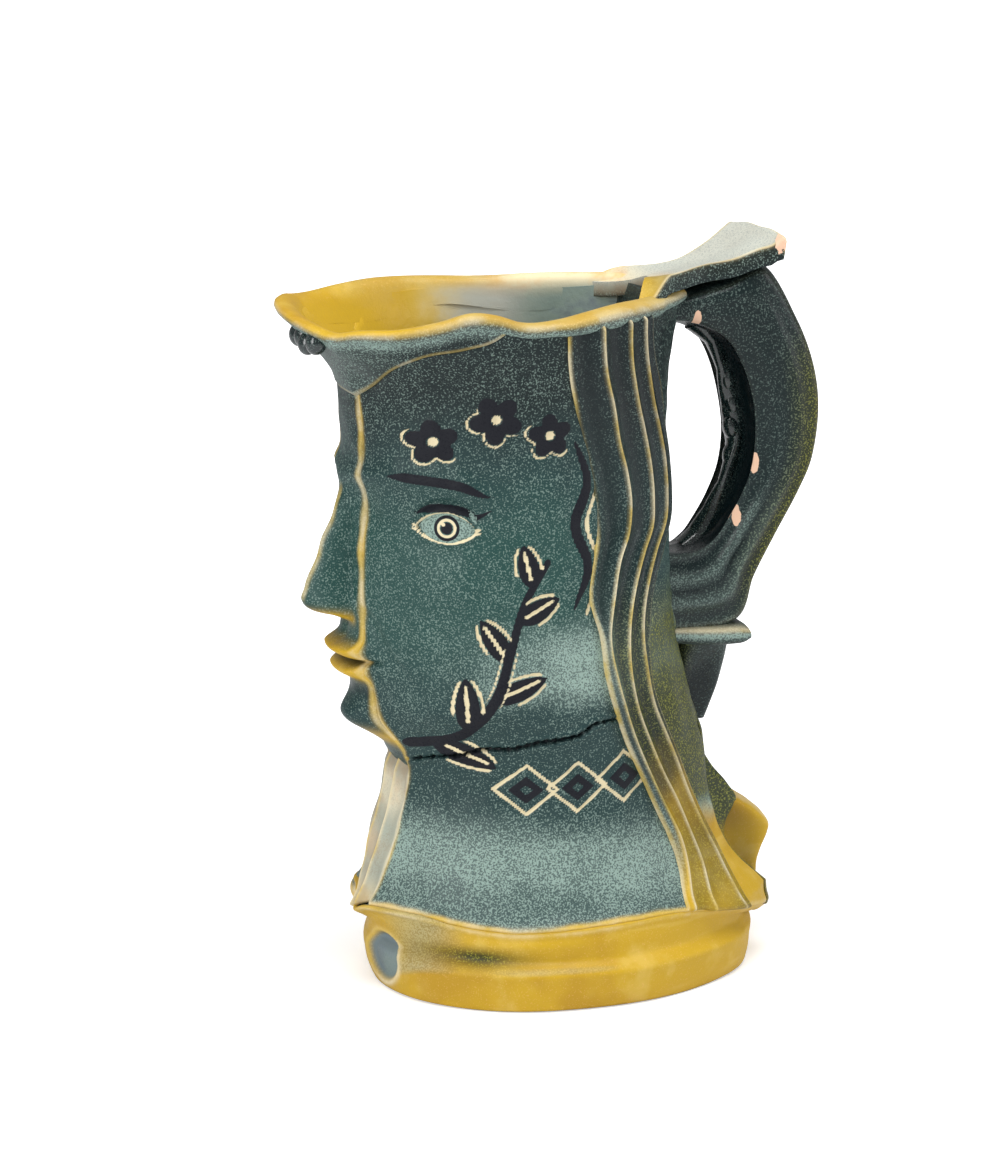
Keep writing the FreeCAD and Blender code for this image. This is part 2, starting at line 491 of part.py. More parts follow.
# Spur at the foot of the nape, and the glaze drips under the spout.
spur_form = body("spur_form")
pad(spur_form, outline(spur_form, "spur_outline", "XZ_Plane", None, [
    ("Sizes.nape_half_width", "Sizes.ledge_height"), ("Sizes.spur_foot_reach", "Sizes.ledge_height"),
    ("Sizes.spur_waist_reach", "Sizes.spur_waist_height"), ("Sizes.spur_tip_reach", "Sizes.spur_tip_height"),
    ("Sizes.spur_top_reach", "Sizes.spur_top_height"), ("Sizes.nape_half_width", "Sizes.spur_top_height")]),
    "2 * Sizes.spur_half_width")
tail_spur = boolean("Cut", "tail_spur", spur_form, outer)
drips = []
for k in (-1, 0, 1):
    drip = ellipsoid(f"drip_{k + 2}", "-Sizes.drip_reach", "Sizes.drip_height",
                     "Sizes.drip_radius", "Sizes.drip_radius", "Sizes.drip_radius")
    drips.append(sized(drip, Placement_Base_y=f"{k} * Sizes.drip_spacing"))
spout_drips = boolean("Cut", "spout_drips", fuse("drips", drips), outer)

NODES = [floor_disc, foot_band, left_wall, right_wall, neck_front, face_plate, nape, collar, rim_band,
         left_hair, right_hair, brow, nose, upper_lip, lower_lip, chin, left_eye, right_eye,
         thumb_rest, strap, handle_ridge, handle_roll, handle_fin, tail_spur, spout_drips]
doc.recompute()
for made in doc.Objects:
    if "Invalid" in made.State or "Error" in made.State:
        raise SystemExit(f"{made.Label} did not compute: {made.State}")
os.makedirs("parts", exist_ok=True)
for node in NODES:
    if node.Shape.isNull() or not node.Shape.isValid():
        raise SystemExit(f"{node.Label} has no sound shape")
    node.Shape.exportStep(f"parts/{node.Label}.step")
    print(node.Label, len(node.Shape.Solids))
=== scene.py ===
import math
import bpy
import numpy as np
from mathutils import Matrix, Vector


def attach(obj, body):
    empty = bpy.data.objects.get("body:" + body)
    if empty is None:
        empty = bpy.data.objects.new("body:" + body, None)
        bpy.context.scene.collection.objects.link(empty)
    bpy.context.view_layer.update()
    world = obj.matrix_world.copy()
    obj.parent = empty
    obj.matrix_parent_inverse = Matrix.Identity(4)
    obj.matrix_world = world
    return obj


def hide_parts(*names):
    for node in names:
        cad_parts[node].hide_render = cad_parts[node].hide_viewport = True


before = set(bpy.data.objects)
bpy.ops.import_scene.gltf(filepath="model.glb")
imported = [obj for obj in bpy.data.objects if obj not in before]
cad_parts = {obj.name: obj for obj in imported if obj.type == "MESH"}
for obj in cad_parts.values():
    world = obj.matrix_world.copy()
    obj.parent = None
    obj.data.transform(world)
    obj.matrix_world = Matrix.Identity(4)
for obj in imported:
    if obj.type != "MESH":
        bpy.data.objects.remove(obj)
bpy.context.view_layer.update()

mm = 0.001
pi = math.pi
sharpFrom = math.radians(62)


# Small helpers for curves, bumps and closed meshes. Shapes are in mm.
def rowOf(count, low=0, high=1):
    return np.linspace(low, high, count)[None, :]


def columnOf(count, low=0, high=1):
    return np.linspace(low, high, count)[:, None]


def curve(xs, ys, x):  # a smooth line through points
    xs, ys = np.asarray(xs, float), np.asarray(ys, float)
    slope = np.gradient(ys, xs)
    x = np.clip(np.asarray(x, float), xs[0], xs[-1])
    k = np.clip(np.searchsorted(xs, x) - 1, 0, len(xs) - 2)
    step = xs[k + 1] - xs[k]
    s = (x - xs[k]) / step
    return ((1 + 2 * s) * (1 - s) ** 2 * ys[k] + s * (1 - s) ** 2 * step * slope[k]
            + s * s * (3 - 2 * s) * ys[k + 1] + s * s * (s - 1) * step * slope[k + 1])


def unit(x):
    return np.clip(x, 0, 1)


def bump(x, centre, width):
    return np.exp(-((x - centre) / width) ** 2)


def ease(low, high, x):  # 0 below low, 1 above high
    s = unit((x - low) / (high - low))
    return s * s * (3 - 2 * s)


def wobble(points, size, seed):  # soft hand-made unevenness, about -1 to 1
    draw = np.random.default_rng(seed)
    total = np.zeros(points.shape[:-1])
    for _ in range(7):
        direction = draw.normal(size=3)
        direction *= 2 * pi / (size * draw.uniform(0.7, 1.6)) / np.linalg.norm(direction)
        total += np.sin(points @ direction + draw.uniform(0, 2 * pi))
    return total / 3.2


def strokeDistance(x, z, line):  # distance from each point to a line of points, and how far along it is
    best, along = np.full(np.shape(x), np.inf), np.zeros(np.shape(x))
    total = sum(math.dist(a, b) for a, b in zip(line, line[1:]))
    gone = 0
    for (ax, az), (bx, bz) in zip(line, line[1:]):
        length = math.dist((ax, az), (bx, bz))
        s = unit(((x - ax) * (bx - ax) + (z - az) * (bz - az)) / length ** 2)
        away = np.hypot(x - ax - s * (bx - ax), z - az - s * (bz - az))
        nearer = away < best
        best = np.where(nearer, away, best)
        along = np.where(nearer, (gone + s * length) / total, along)
        gone += length
    return best, along


def bend(line, count=14):  # a smooth line through a few given points
    line = np.asarray(line, float)
    knots = np.arange(len(line))
    at = np.linspace(0, len(line) - 1, count)
    return list(zip(curve(knots, line[:, 0], at), curve(knots, line[:, 1], at)))


def throughRings(knots, rows):  # smooth rows of points through a few rings of points
    place = np.linspace(0, len(knots) - 1, rows)
    k = np.minimum(place.astype(int), len(knots) - 2)
    s = (place - k)[:, None, None]
    slope = np.gradient(knots, axis=0)
    return ((1 + 2 * s) * (1 - s) ** 2 * knots[k] + s * (1 - s) ** 2 * slope[k]
            + s * s * (3 - 2 * s) * knots[k + 1] + s * s * (s - 1) * slope[k + 1])


def squared(count, power):  # the cosine and sine round a circle, squared up at the corners
    angle = np.linspace(0, 2 * pi, count, endpoint=False)[None, :]
    c, s = np.cos(angle), np.sin(angle)
    return np.sign(c) * np.abs(c) ** power, np.sign(s) * np.abs(s) ** power


def meshPiece(name, points, faces, marks, nodes):
    points = np.asarray(points, float)
    corners = np.array([(face[0], face[k], face[k + 1]) for face in faces for k in range(1, len(face) - 1)])
    a, b, c = (points[corners[:, k]] for k in range(3))
    turned = np.einsum("ij,ij->i", a, np.cross(b, c)).sum() < 0
    mesh = bpy.data.meshes.new(name)
    mesh.from_pydata((points * mm).tolist(), [], [face[::-1] for face in faces] if turned else faces)
    for mark, values in marks.items():
        layer = mesh.attributes.new(mark, "FLOAT", "POINT")
        full = np.zeros(len(points))
        full[:len(values)] = values
        layer.data.foreach_set("value", full)
    mesh.shade_smooth()
    mesh.set_sharp_from_angle(angle=sharpFrom)
    return placed(bpy.data.objects.new(name, mesh), nodes)


def placed(piece, nodes):
    bpy.context.scene.collection.objects.link(piece)
    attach(piece, "root")
    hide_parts(*nodes)
    return piece


def quads(rows, cols, start=0, wrap=False, turned=False):
    faces = []
    for i in range(rows - 1):
        for j in range(cols if wrap else cols - 1):
            k = (j + 1) % cols
            face = (start + i * cols + j, start + i * cols + k, start + (i + 1) * cols + k, start + (i + 1) * cols + j)
            faces.append(face[::-1] if turned else face)
    return faces


def slab(name, outer, inner, step, marks, nodes, hollow=1.0, far=False):
    # A closed slab: a fine outer face, an inner face that keeps every step-th row and column, and its edges.
    if far:
        outer, inner = mirrored(outer), mirrored(inner)
    rows, cols = outer.shape[:2]
    coarse = inner[::step, ::step]
    rowsIn, colsIn = coarse.shape[:2]
    start = rows * cols
    faces = quads(rows, cols) + quads(rowsIn, colsIn, start, turned=True)

    def edge(outerLine, innerLine):
        for k in range(len(innerLine) - 1):
            run = outerLine[k * step:(k + 1) * step + 1]
            faces.append(tuple(run[::-1]) + (innerLine[k], innerLine[k + 1]))

    grid, gridIn = np.arange(start).reshape(rows, cols), start + np.arange(rowsIn * colsIn).reshape(rowsIn, colsIn)
    edge(grid[0].tolist(), gridIn[0].tolist())
    edge(grid[-1, ::-1].tolist(), gridIn[-1, ::-1].tolist())
    edge(grid[:, -1].tolist(), gridIn[:, -1].tolist())
    edge(grid[::-1, 0].tolist(), gridIn[::-1, 0].tolist())
    points = np.concatenate([outer.reshape(-1, 3), coarse.reshape(-1, 3)])
    flat = {mark: np.broadcast_to(values, outer.shape[:2]).reshape(-1) for mark, values in marks.items()}
    flat["inside"] = np.concatenate([np.zeros(rows * cols), np.full(rowsIn * colsIn, hollow)])
    return meshPiece(name, points, faces, flat, nodes)


def tube(name, rings, marks, nodes, looped=False):
    # A closed body from rings of points: its ends are closed at their middles, or the last ring joins the first.
    rows, cols = rings.shape[:2]
    faces = quads(rows, cols, wrap=True)
    points = rings.reshape(-1, 3)
    if looped:
        last = (rows - 1) * cols
        faces += [(last + j, last + (j + 1) % cols, (j + 1) % cols, j) for j in range(cols)]
    else:
        points = np.concatenate([points, rings[0].mean(0)[None], rings[-1].mean(0)[None]])
        first, last = rows * cols, rows * cols + 1
        for j in range(cols):
            k = (j + 1) % cols
            faces.append((first, k, j))
            faces.append((last, (rows - 1) * cols + j, (rows - 1) * cols + k))
    flat = {mark: np.broadcast_to(values, rings.shape[:2]).reshape(-1) for mark, values in marks.items()}
    return meshPiece(name, points, faces, flat, nodes)


def edgeRoll(position, length, radius, depth):  # how far a surface sinks towards either end of its length
    near = np.minimum(position, length - position)
    s = unit(1 - near / radius)
    return depth * (1 - np.sqrt(unit(1 - s * s)))


# The wall's form: the outline's reach to the front, half width and reach to the back at each height
wall = dict(
    height=[28, 42, 64, 88, 114, 145, 185, 218, 238, 255, 272],
    front=[87, 80, 72, 68, 80, 85, 86, 86, 89, 104, 118],
    side=[61, 53, 47.5, 47, 50, 50.5, 48.5, 48.5, 50.5, 53, 56],
    back=[77, 63, 54, 50, 43, 38, 35.5, 35, 36.5, 40, 43],
    faceHalf=[12, 12, 12, 12, 12, 12, 12, 12, 12, 25, 40],
    faceRound=[1.5, 1.5, 1.5, 1.5, 1.5, 1.5, 1.5, 1.5, 1.5, 6, 15],
    napeHalf=18, thick=6,
    ledgeX=[-88, -71, -58, -40, -19, 4, 28, 50, 66, 78],
    ledgeZ=[33.5, 33.5, 31.5, 29.7, 30.3, 31.2, 31, 27, 22.5, 18],
    rimNearX=[-113, -108, -102, -92, -79, -66, -56, -46, -36, -20, -8, 8, 18, 50],
    rimNearZ=[262, 258.5, 254, 256, 256.5, 259, 262, 261.3, 258.5, 258, 258.4, 258.6, 258.2, 259],
    rimFarX=[-113, -100, -74, -55, -31, -3, 22, 34, 50],
    rimFarZ=[262, 257.6, 254.3, 254, 254, 252, 254, 256, 256],
    seamX=[-95, -88, -81, -70, -55, -46, -40], seamZ=[231, 236.5, 244, 251, 254.5, 257.5, 262])


def wallAt(key, z):
    return curve(wall["height"], wall[key], z)


def sideArc(z, inset=0):
    # Circle through the face corner, the widest place and the nape corner: centre, radius and end angles.
    front, side, back = wallAt("front", z) - inset, wallAt("side", z) - inset, wallAt("back", z) - inset
    ax, ay = wallAt("faceRound", z) - front, -(wallAt("faceHalf", z) - inset / 2)
    mx, my = (wallAt("back", z) - wallAt("front", z)) / 2, -side
    bx, by = back, -(wall["napeHalf"] - inset / 2)
    d = 2 * (ax * (my - by) + mx * (by - ay) + bx * (ay - my))
    a2, m2, b2 = ax * ax + ay * ay, mx * mx + my * my, bx * bx + by * by
    cx = (a2 * (my - by) + m2 * (by - ay) + b2 * (ay - my)) / d
    cy = (a2 * (bx - mx) + m2 * (ax - bx) + b2 * (mx - ax)) / d
    radius = np.hypot(ax - cx, ay - cy)
    return cx, cy, radius, np.arctan2(ay - cy, ax - cx), np.arctan2(by - cy, bx - cx)


def sidePoint(t, z, out=0, inset=0):  # t runs from the face corner to the nape corner, on the near side
    cx, cy, radius, first, last = sideArc(z, inset)
    angle = first + t * (last - first)
    reach = radius + out
    return np.stack(np.broadcast_arrays(cx + reach * np.cos(angle), cy + reach * np.sin(angle), z), -1)


def sideLength(z):
    cx, cy, radius, first, last = sideArc(z)
    return radius * (last - first)


def sideAtX(x, z):  # t where the near side passes x
    cx, cy, radius, first, last = sideArc(z)
    angle = -np.arccos(np.clip((x - cx) / radius, -1, 1))
    return (angle - first) / (last - first)


def frontPoint(t, z, out=0, inset=0):  # t runs from -1 on the near corner to 1 on the far corner
    front, half, deep = wallAt("front", z) - inset, wallAt("faceHalf", z) - inset / 2, wallAt("faceRound", z)
    radius = (half ** 2 + deep ** 2) / (2 * deep)
    span = np.arcsin(unit(half / radius))
    angle = pi - t * span
    reach = radius + out
    return np.stack(np.broadcast_arrays(radius - front + reach * np.cos(angle), reach * np.sin(angle), z), -1)


def mirrored(points):
    return points * np.array([1, -1, 1])


def rimUnder(x, y):  # height of the rim band's underside
    near = curve(wall["rimNearX"], wall["rimNearZ"], x)
    far = curve(wall["rimFarX"], wall["rimFarZ"], x)
    return near + (far - near) * ease(-25, 25, y)


def seamHeight(x):  # the crease where the spout's flare starts
    return curve(wall["seamX"], wall["seamZ"], x)


def ledgeHeight(x):  # the wall slabs' lower edge
    return curve(wall["ledgeX"], wall["ledgeZ"], x)


# The face, a calm one on common thirds: its relief over the distance from the middle line and the height.
face = dict(brow=199, eye=184, mouth=128, eyeFromMiddle=48, eyeHalf=11,
            bridgeZ=[142, 144.5, 147, 151, 156, 164, 175, 186, 193, 199],
            bridge=[0, 5, 13, 17.5, 16.5, 13, 9, 4.5, 2.2, 1.5],
            noseZ=[142, 148, 152, 159, 170, 186, 199], noseHalf=[7, 8.6, 8.2, 6.2, 5.0, 4.4, 8],
            # mounds and hollows: stand, distance from the middle and its width, height and its width
            mounds=[(3.4, 7.2, 2.6, 149.5, 4.2), (-2.6, 4.3, 1.6, 144.6, 1.3), (-1.5, 46, 17, 187, 9),
                    (-3.0, 16, 8, 188, 9), (1.2, 48, 20, 163, 12), (3.2, 0, 15, 130, 13), (12.0, 0, 11.5, 105, 8.2),
                    (-0.8, 0, 3, 106, 5)])


def browHeight(a):  # the arch of the brow over the distance from the middle line
    return face["brow"] + 3.5 * np.sin(unit(a / 62) * pi) - 3 * ease(52, 66, a)


def faceRelief(w, z):
    a = np.abs(w)
    bridge = curve(face["bridgeZ"], face["bridge"], z) * ease(142, 143.5, z) * ease(206, 196, z)
    half = curve(face["noseZ"], face["noseHalf"], z)
    nose = bridge * np.cos(unit(a / half) * pi / 2) ** 0.8
    mounds = sum(stand * bump(a, aside, wide) * bump(z, level, tall)
                 for stand, aside, wide, level, tall in face["mounds"])
    brow = 2.2 * bump(z, browHeight(a), 4.2) * ease(68, 54, a) * (0.55 + 0.45 * ease(2, 12, a))
    fold = -1.1 * bump(a, 13 + (150 - z) * 0.62, 2.4) * ease(120, 132, z) * ease(154, 147, z)
    jaw = 1.2 * ease(8, 30, a) * ease(95, 60, a) * bump(z, 106 + 0.13 * a, 7)
    lift = 1.5 * (a / 20) ** 2
    upper = (6.2 * bump(z - lift, 132.2, 2.9) - 1.0 * bump(a, 0, 2.2) * bump(z, 135.5, 2)) * ease(18, 8, a)
    lower = 5.8 * bump(z - lift * 0.6, 124.2, 3.1) * ease(17, 7, a)
    parting = -3.0 * bump(z - lift, face["mouth"], 0.95) * ease(22, 13, a)
    groove = -0.9 * bump(a, 0, 2.0) * ease(134, 137, z) * ease(144, 141, z)
    return nose + mounds + brow + fold + jaw + upper + lower + parting + groove


def lidLines(w):  # the eye opening's upper and lower edge at a distance from the face's middle line
    s = unit(1 - ((np.abs(w) - face["eyeFromMiddle"]) / face["eyeHalf"]) ** 2)
    drop = 0.05 * (np.abs(w) - face["eyeFromMiddle"])
    return face["eye"] + 5.6 * s ** 0.8 - drop, face["eye"] - 4.0 * s ** 0.8 - drop


def lidRelief(w, z):
    upper, lower = lidLines(w)
    near = ease(14.5, 10.5, np.abs(np.abs(w) - face["eyeFromMiddle"]))
    opening = ease(-0.3, 0.6, upper - z) * ease(-0.3, 0.6, z - lower) * (upper - lower > 0.8)
    lids = 2.0 * bump(z, upper + 1.2, 1.3) + 1.5 * bump(z, lower - 1.1, 1.2)
    return near * (lids * (1 - opening) - 1.3 * bump(z, upper + 4.6, 1.0)) - 1.6 * opening, opening


def lidPaint(w, z):  # brushed black along the lid and the brow, and cream lines cut along the lids
    upper, lower = lidLines(w)
    aside = np.abs(w) - face["eyeFromMiddle"]
    lash = ease(0.4, -0.4, np.abs(z - upper - 2.4 - 0.02 * aside ** 2) - 1.3 * ease(17, 8, np.abs(aside - 2)))
    a = np.abs(w)
    brow = ease(0.4, -0.4, np.abs(z - browHeight(a) - 0.5) - 1.9 * ease(22, 34, a) * ease(68, 56, a) + 0.1)
    near = ease(13.5, 12.5, np.abs(aside))
    cut = near * np.maximum(ease(0.7, 0.3, np.abs(z - upper - 0.6)), ease(0.7, 0.3, np.abs(z - lower + 0.9)))
    return np.maximum(lash, brow), cut


# Painted and cut ornament on the cheeks, as x and z: a leaf spray, diamonds, rosettes and a wavy border.
ornament = dict(
    stem=[(-66, 98), (-53, 104), (-43, 119), (-38, 138), (-33, 156), (-24, 171)],
    leafLong=22, leafWide=4.4, leafAt=[0.08, 0.24, 0.40, 0.56, 0.72, 0.88], leafTurn=0.8,
    diamonds=[(-30, 82), (-11, 82.5), (8, 84.5)], diamondSize=9.6,
    rosettes=[(-64, 217, 8.5), (-43, 226, 9.5), (-23, 219, 8.5)],
    border=[(-14, 152), (-8, 168), (-13, 184), (-8, 200), (-13, 216)],
    borderCut=[(-8.5, 150), (-3, 167), (-8, 184), (-3, 201), (-8, 218)],
    crack=[(-73, 86), (-62, 92), (-52, 95), (-46, 98), (-35, 98.5), (-27, 101), (-18, 102), (-11, 103), (-5, 107),
           (4, 107.5), (14, 107)])


def leafSpray(x, z, far):
    stem = bend(ornament["stem"], 26)
    away, along = strokeDistance(x, z, stem)
    ink = ease(2.6, 1.9, away + 1.0 * along)
    cut = ease(0.5, 0.1, np.abs(away + 1.0 * along - 3.0)) * ease(0.3, 0.4, along) * ease(0.62, 0.56, along)
    for k, share in enumerate(ornament["leafAt"]):
        i = int(share * (len(stem) - 1))
        (px, pz), (qx, qz) = stem[i], stem[i + 1]
        heading = math.atan2(qz - pz, qx - px) + (1 if (k + far) % 2 else -1) * ornament["leafTurn"]
        size = ornament["leafLong"] * (1.05 - 0.35 * share)
        along, across = ((x - px) * math.cos(heading) + (z - pz) * math.sin(heading),
                         (z - pz) * math.cos(heading) - (x - px) * math.sin(heading))
        s = along / size
        half = ornament["leafWide"] * 2.1 * np.sqrt(unit(s)) * unit(1 - s) ** 0.75
        ink = np.maximum(ink, ease(-0.4, 0.4, half - np.abs(across)) * (s > 0) * (s < 1))
        vein = ease(0.85, 0.4, np.abs(across - 0.25)) * ease(0.12, 0.2, s) * ease(0.92, 0.8, s)
        outline = ease(0.75, 0.35, np.abs(np.abs(across) - half - 0.9)) * ease(0.25, 0.4, s) * ease(1.0, 0.9, s)
        cut = np.maximum(cut, np.maximum(vein, outline))
    return ink, cut


def cheekOrnament(x, z, far):
    ink, cut = leafSpray(x, z, far)
    size = ornament["diamondSize"]
    for px, pz in ornament["diamonds"]:
        reach = np.abs(x - px) * 0.85 + np.abs(z - pz)
        ink = np.maximum(ink, ease(0.4, -0.4, reach - 0.56 * size) * ease(-0.2, 0.2, reach - 0.2 * size))
        cut = np.maximum(cut, ease(1.0, 0.5, np.abs(reach - size)))
    for px, pz, size in ornament["rosettes"]:
        reach, turn = np.hypot(x - px, z - pz), np.arctan2(z - pz, x - px)
        petal = size * (0.62 + 0.38 * np.abs(np.cos(2.5 * turn + px)))
        ink = np.maximum(ink, ease(0.4, -0.4, reach - petal) * ease(1.8, 2.5, reach))
        outline = ease(0.6, 0.2, np.abs(reach - petal - 1.0)) * ease(0.2, -0.4, np.sin(turn + 0.6))
        cut = np.maximum(cut, np.maximum(ease(2.0, 1.4, reach), outline))
    away, along = strokeDistance(x, z, bend(ornament["border"], 30))
    ink = np.maximum(ink, ease(0.3, -0.3, away - 2.1 * np.sin(pi * unit(along)) ** 0.5))
    away, along = strokeDistance(x, z, bend(ornament["borderCut"], 30))
    cut = np.maximum(cut, ease(0.9, 0.4, away))
    return ink, cut


# Slabs of the head and neck.
cheekSlab = dict(rows=361, cols=169, step=6, roll=2.4, rollDeep=1.6, rollEnd=1.6, rollEndDeep=1.2, lap=0.9, drop=6.5,
                 lowAt=28.0, highAt=250.0, faceCorner=12)


def cheek(name, nodes, far):
    size = cheekSlab
    t = rowOf(size["cols"])
    v = columnOf(size["rows"])
    high, low = (sidePoint(t, np.full_like(t, size[key])) for key in ("highAt", "lowAt"))
    top = np.minimum(seamHeight(high[..., 0]), rimUnder(high[..., 0], high[..., 1] * (-1) ** far) + size["lap"])
    bottom = ledgeHeight(low[..., 0]) - size["drop"] * ease(-68, -87, low[..., 0]) * far
    z = bottom + v * (top - bottom)
    base = sidePoint(t + 0 * z, z)
    x, length = base[..., 0], sideLength(z)
    fromCorner = t * length
    w = size["faceCorner"] + fromCorner
    lids, opening = lidRelief(w, z)
    relief = faceRelief(w, z) + lids
    ink, cut = cheekOrnament(x, z, far)
    lash, incised = lidPaint(w, z)
    ink, cut = np.maximum(ink, lash) * (1 - opening), np.maximum(cut, incised) * (1 - opening)
    relief = relief + 0.3 * ink - 0.7 * cut + 0.45 * wobble(base, 38, 3 + far) + 0.22 * wobble(base, 11, 5 + far)
    crack = np.zeros_like(z)
    if not far:
        away, along = strokeDistance(x, z, ornament["crack"])
        away = np.maximum(0, away + 0.25 * np.sin(x * 1.9) + 0.15 * np.sin(x * 4.1))
        crack = ease(1.1, 0.35, away / (0.25 + 0.85 * bump(along, 0.5, 0.36))) * ease(1.0, 0.8, along)
        relief = relief - 1.8 * crack + 0.5 * bump(away, 1.6, 0.8)
    low = z - bottom
    relief = relief + 1.0 * bump(low, 1.5, 2.6)
    relief = relief - size["drop"] * ease(15, 0, fromCorner) * ease(60, 30, z) * far
    relief = relief - edgeRoll(fromCorner, length, size["roll"], size["rollDeep"])
    relief = relief - edgeRoll(low, top - bottom, size["rollEnd"], size["rollEndDeep"])
    outer = sidePoint(t + 0 * z, z, relief)
    inner = sidePoint(t + 0 * z, z, 0, wall["thick"])
    ochre = np.maximum(ease(2.6, 0.6, low - 0.6 * wobble(base, 15, 9)),
                       0.75 * ease(3.0, 0.4, fromCorner) * (0.5 + 0.5 * wobble(base, 26, 12)))
    rear = ease(-1.0, 1.5, x - curve(hair["height"], hair["arrises"][-1], z))
    ochre = np.maximum(ochre, rear * ease(62, 48, z + 4 * wobble(base, 24, 13)))
    # the eye opening is darkened with painted shade
    marks = dict(ink=ink, cut=cut, ochre=unit(ochre), crack=crack, poolAndShade=0.25 * opening,
                 olive=rear * ease(160, 130, z) * ease(60, 70, z), mist=0.9 * rear * bump(z, 63, 6),
                 pale=far * ease(12, 4, fromCorner) * ease(70, 50, z),
                 edge=unit(ease(2.0, 0.5, fromCorner) * 0.8 + 0.6 * bump(low, 1.3, 1.0)))
    return slab(name, outer, inner, size["step"], marks, nodes, far=far)


faceSlab = dict(rows=313, cols=61, step=6, low=84, seamAt=-88.0, wrap=1.08)


def faceFront():
    size = faceSlab
    t = rowOf(size["cols"], -size["wrap"], size["wrap"])
    v = columnOf(size["rows"])
    high = float(seamHeight(size["seamAt"])) + 0.8
    z = size["low"] + v * (high - size["low"]) + 0 * t
    half = wallAt("faceHalf", z)
    w = t * half
    relief = faceRelief(w, z) + 0.3 * wobble(frontPoint(t, z), 14, 21)
    relief = relief - edgeRoll((t + size["wrap"]) * half, 2 * size["wrap"] * half, 2.2, 1.6)
    relief = relief - edgeRoll(z - size["low"], high - size["low"], 2.0, 1.6) - 2.0 * ease(90, 84, z)
    outer = frontPoint(t, z, relief)
    inner = frontPoint(t, z, 0, wall["thick"])
    lips = ease(22, 14, np.abs(w)) * (bump(z, 132, 3.0) + bump(z, 124, 3.2))
    ochre = 0.85 * lips + 0.9 * bump(z, 145.5, 2.6) * ease(10, 6, np.abs(w)) + 0.6 * bump(z, 97.5, 3.5)
    ochre = ochre + 0.5 * ease(9.5, 12, np.abs(w)) * (0.6 + 0.4 * wobble(outer, 18, 4))
    edge = ease(1.9, 0.7, np.abs(w)) * ease(150, 154, z) * ease(197, 190, z) * 0.75
    edge = np.maximum(edge, 0.7 * bump(np.abs(w), 12, 1.0))
    # the mouth's parting and the hollow under the lower lip are darkened with painted shade and pooled glaze
    marks = dict(ochre=unit(ochre), edge=unit(edge),
                 poolAndShade=bump(z, face["mouth"], 1.1) + 0.6 * bump(z, 117, 3))
    return slab("faceFront", outer, inner, size["step"], marks,
                ["face_plate", "brow_ridge", "nose", "upper_lip", "lower_lip", "chin"])


neckStrip = dict(rows=103, cols=49, step=6, flutes=3, deep=1.8, stand=1.6, wrap=1.12, low=30.0, slant=4.5, high=91)


def neckFront():
    size = neckStrip
    wrap = size["wrap"]
    t = rowOf(size["cols"], -wrap, wrap)
    v = columnOf(size["rows"])
    bottom = size["low"] - size["slant"] * np.clip(t, -1, 1)
    z = bottom + v * (size["high"] - bottom)
    half = wallAt("faceHalf", z)
    hollow = np.sin(pi * ((t + wrap) / (2 * wrap) * size["flutes"] % 1))
    relief = size["stand"] - size["deep"] * hollow ** 0.8 + 0.4 * wobble(frontPoint(t, z), 16, 31)
    relief = relief - 1.2 * ease(50, 30, z) - 5.5 * ease(-0.3, 1.0, t) * ease(60, 30, z)
    relief = relief - edgeRoll((t + wrap) * half, 2 * wrap * half, 1.8, 2.0)
    relief = relief - 3.0 * ease(82, size["high"], z) - edgeRoll(z - bottom, 63, 1.8, 1.6)
    outer = frontPoint(t, z, relief)
    inner = frontPoint(t, z, 0, wall["thick"])
    marks = dict(pale=0.75 + 0.25 * wobble(outer, 20, 8), edge=unit(1 - hollow * 3.0),
                 ochre=0.35 * ease(45, 28, z), grey=0.5)
    return slab("neckFront", outer, inner, size["step"], marks, ["neck_front"])


napeSlab = dict(rows=361, cols=37, step=6, pinHole=(-7.5, 104), wrap=1.05, ledgeAt=77.0, rimAt=42.0,
                webZ=[40, 50, 58, 64, 72, 80, 90], web=[0, 8, 14.5, 12.5, 7.6, 3.4, 0])


def napeStrip():
    size = napeSlab
    half, wrap = wall["napeHalf"], size["wrap"]
    s = rowOf(size["cols"], -wrap, wrap)
    v = columnOf(size["rows"])
    bottom, top = ledgeHeight(size["ledgeAt"]), rimUnder(size["rimAt"], 0) + 0.5
    z = bottom + v * (top - bottom) + 0 * s
    y = s * half
    base = np.stack(np.broadcast_arrays(wallAt("back", z), y, z), -1)
    hole = ease(1.5, 0.8, np.hypot(y - size["pinHole"][0], z - size["pinHole"][1]))
    relief = -0.9 * bump(y, 0, 11) + 0.5 * wobble(base, 24, 41) + 0.2 * wobble(base, 8, 43) - 1.5 * hole
    relief = relief - edgeRoll((s + wrap) * half, 2 * wrap * half, 1.6, 1.2) + 1.0 * bump(z, bottom + 2, 2.5)
    relief = relief + curve(size["webZ"], size["web"], z) * ease(9.5, 3.5, np.abs(y + 1.5))
    outer = base + np.stack([relief, 0 * relief, 0 * relief], -1)
    inner = np.stack(np.broadcast_arrays(wallAt("back", z) - wall["thick"], s * (half - 3), z), -1)
    # the pin hole and a broad band under the handle's root roll are darkened with painted shade and pooled glaze
    marks = dict(olive=0.95 * ease(150, 125, z + 4 * wobble(base, 20, 45)), poolAndShade=hole + 0.3 * bump(z, 112, 12),
                 ochre=ease(52, 36, z + 5 * wobble(base, 30, 44)) * 0.95, mist=0.9 * bump(z, 62, 6) * bump(y, -13, 5))
    return slab("napeStrip", outer, inner, size["step"], marks, ["nape_wall"])


collarSlab = dict(sideCols=91, frontCols=61, rows=37, step=6, stand=1.0, endX=-42.0)


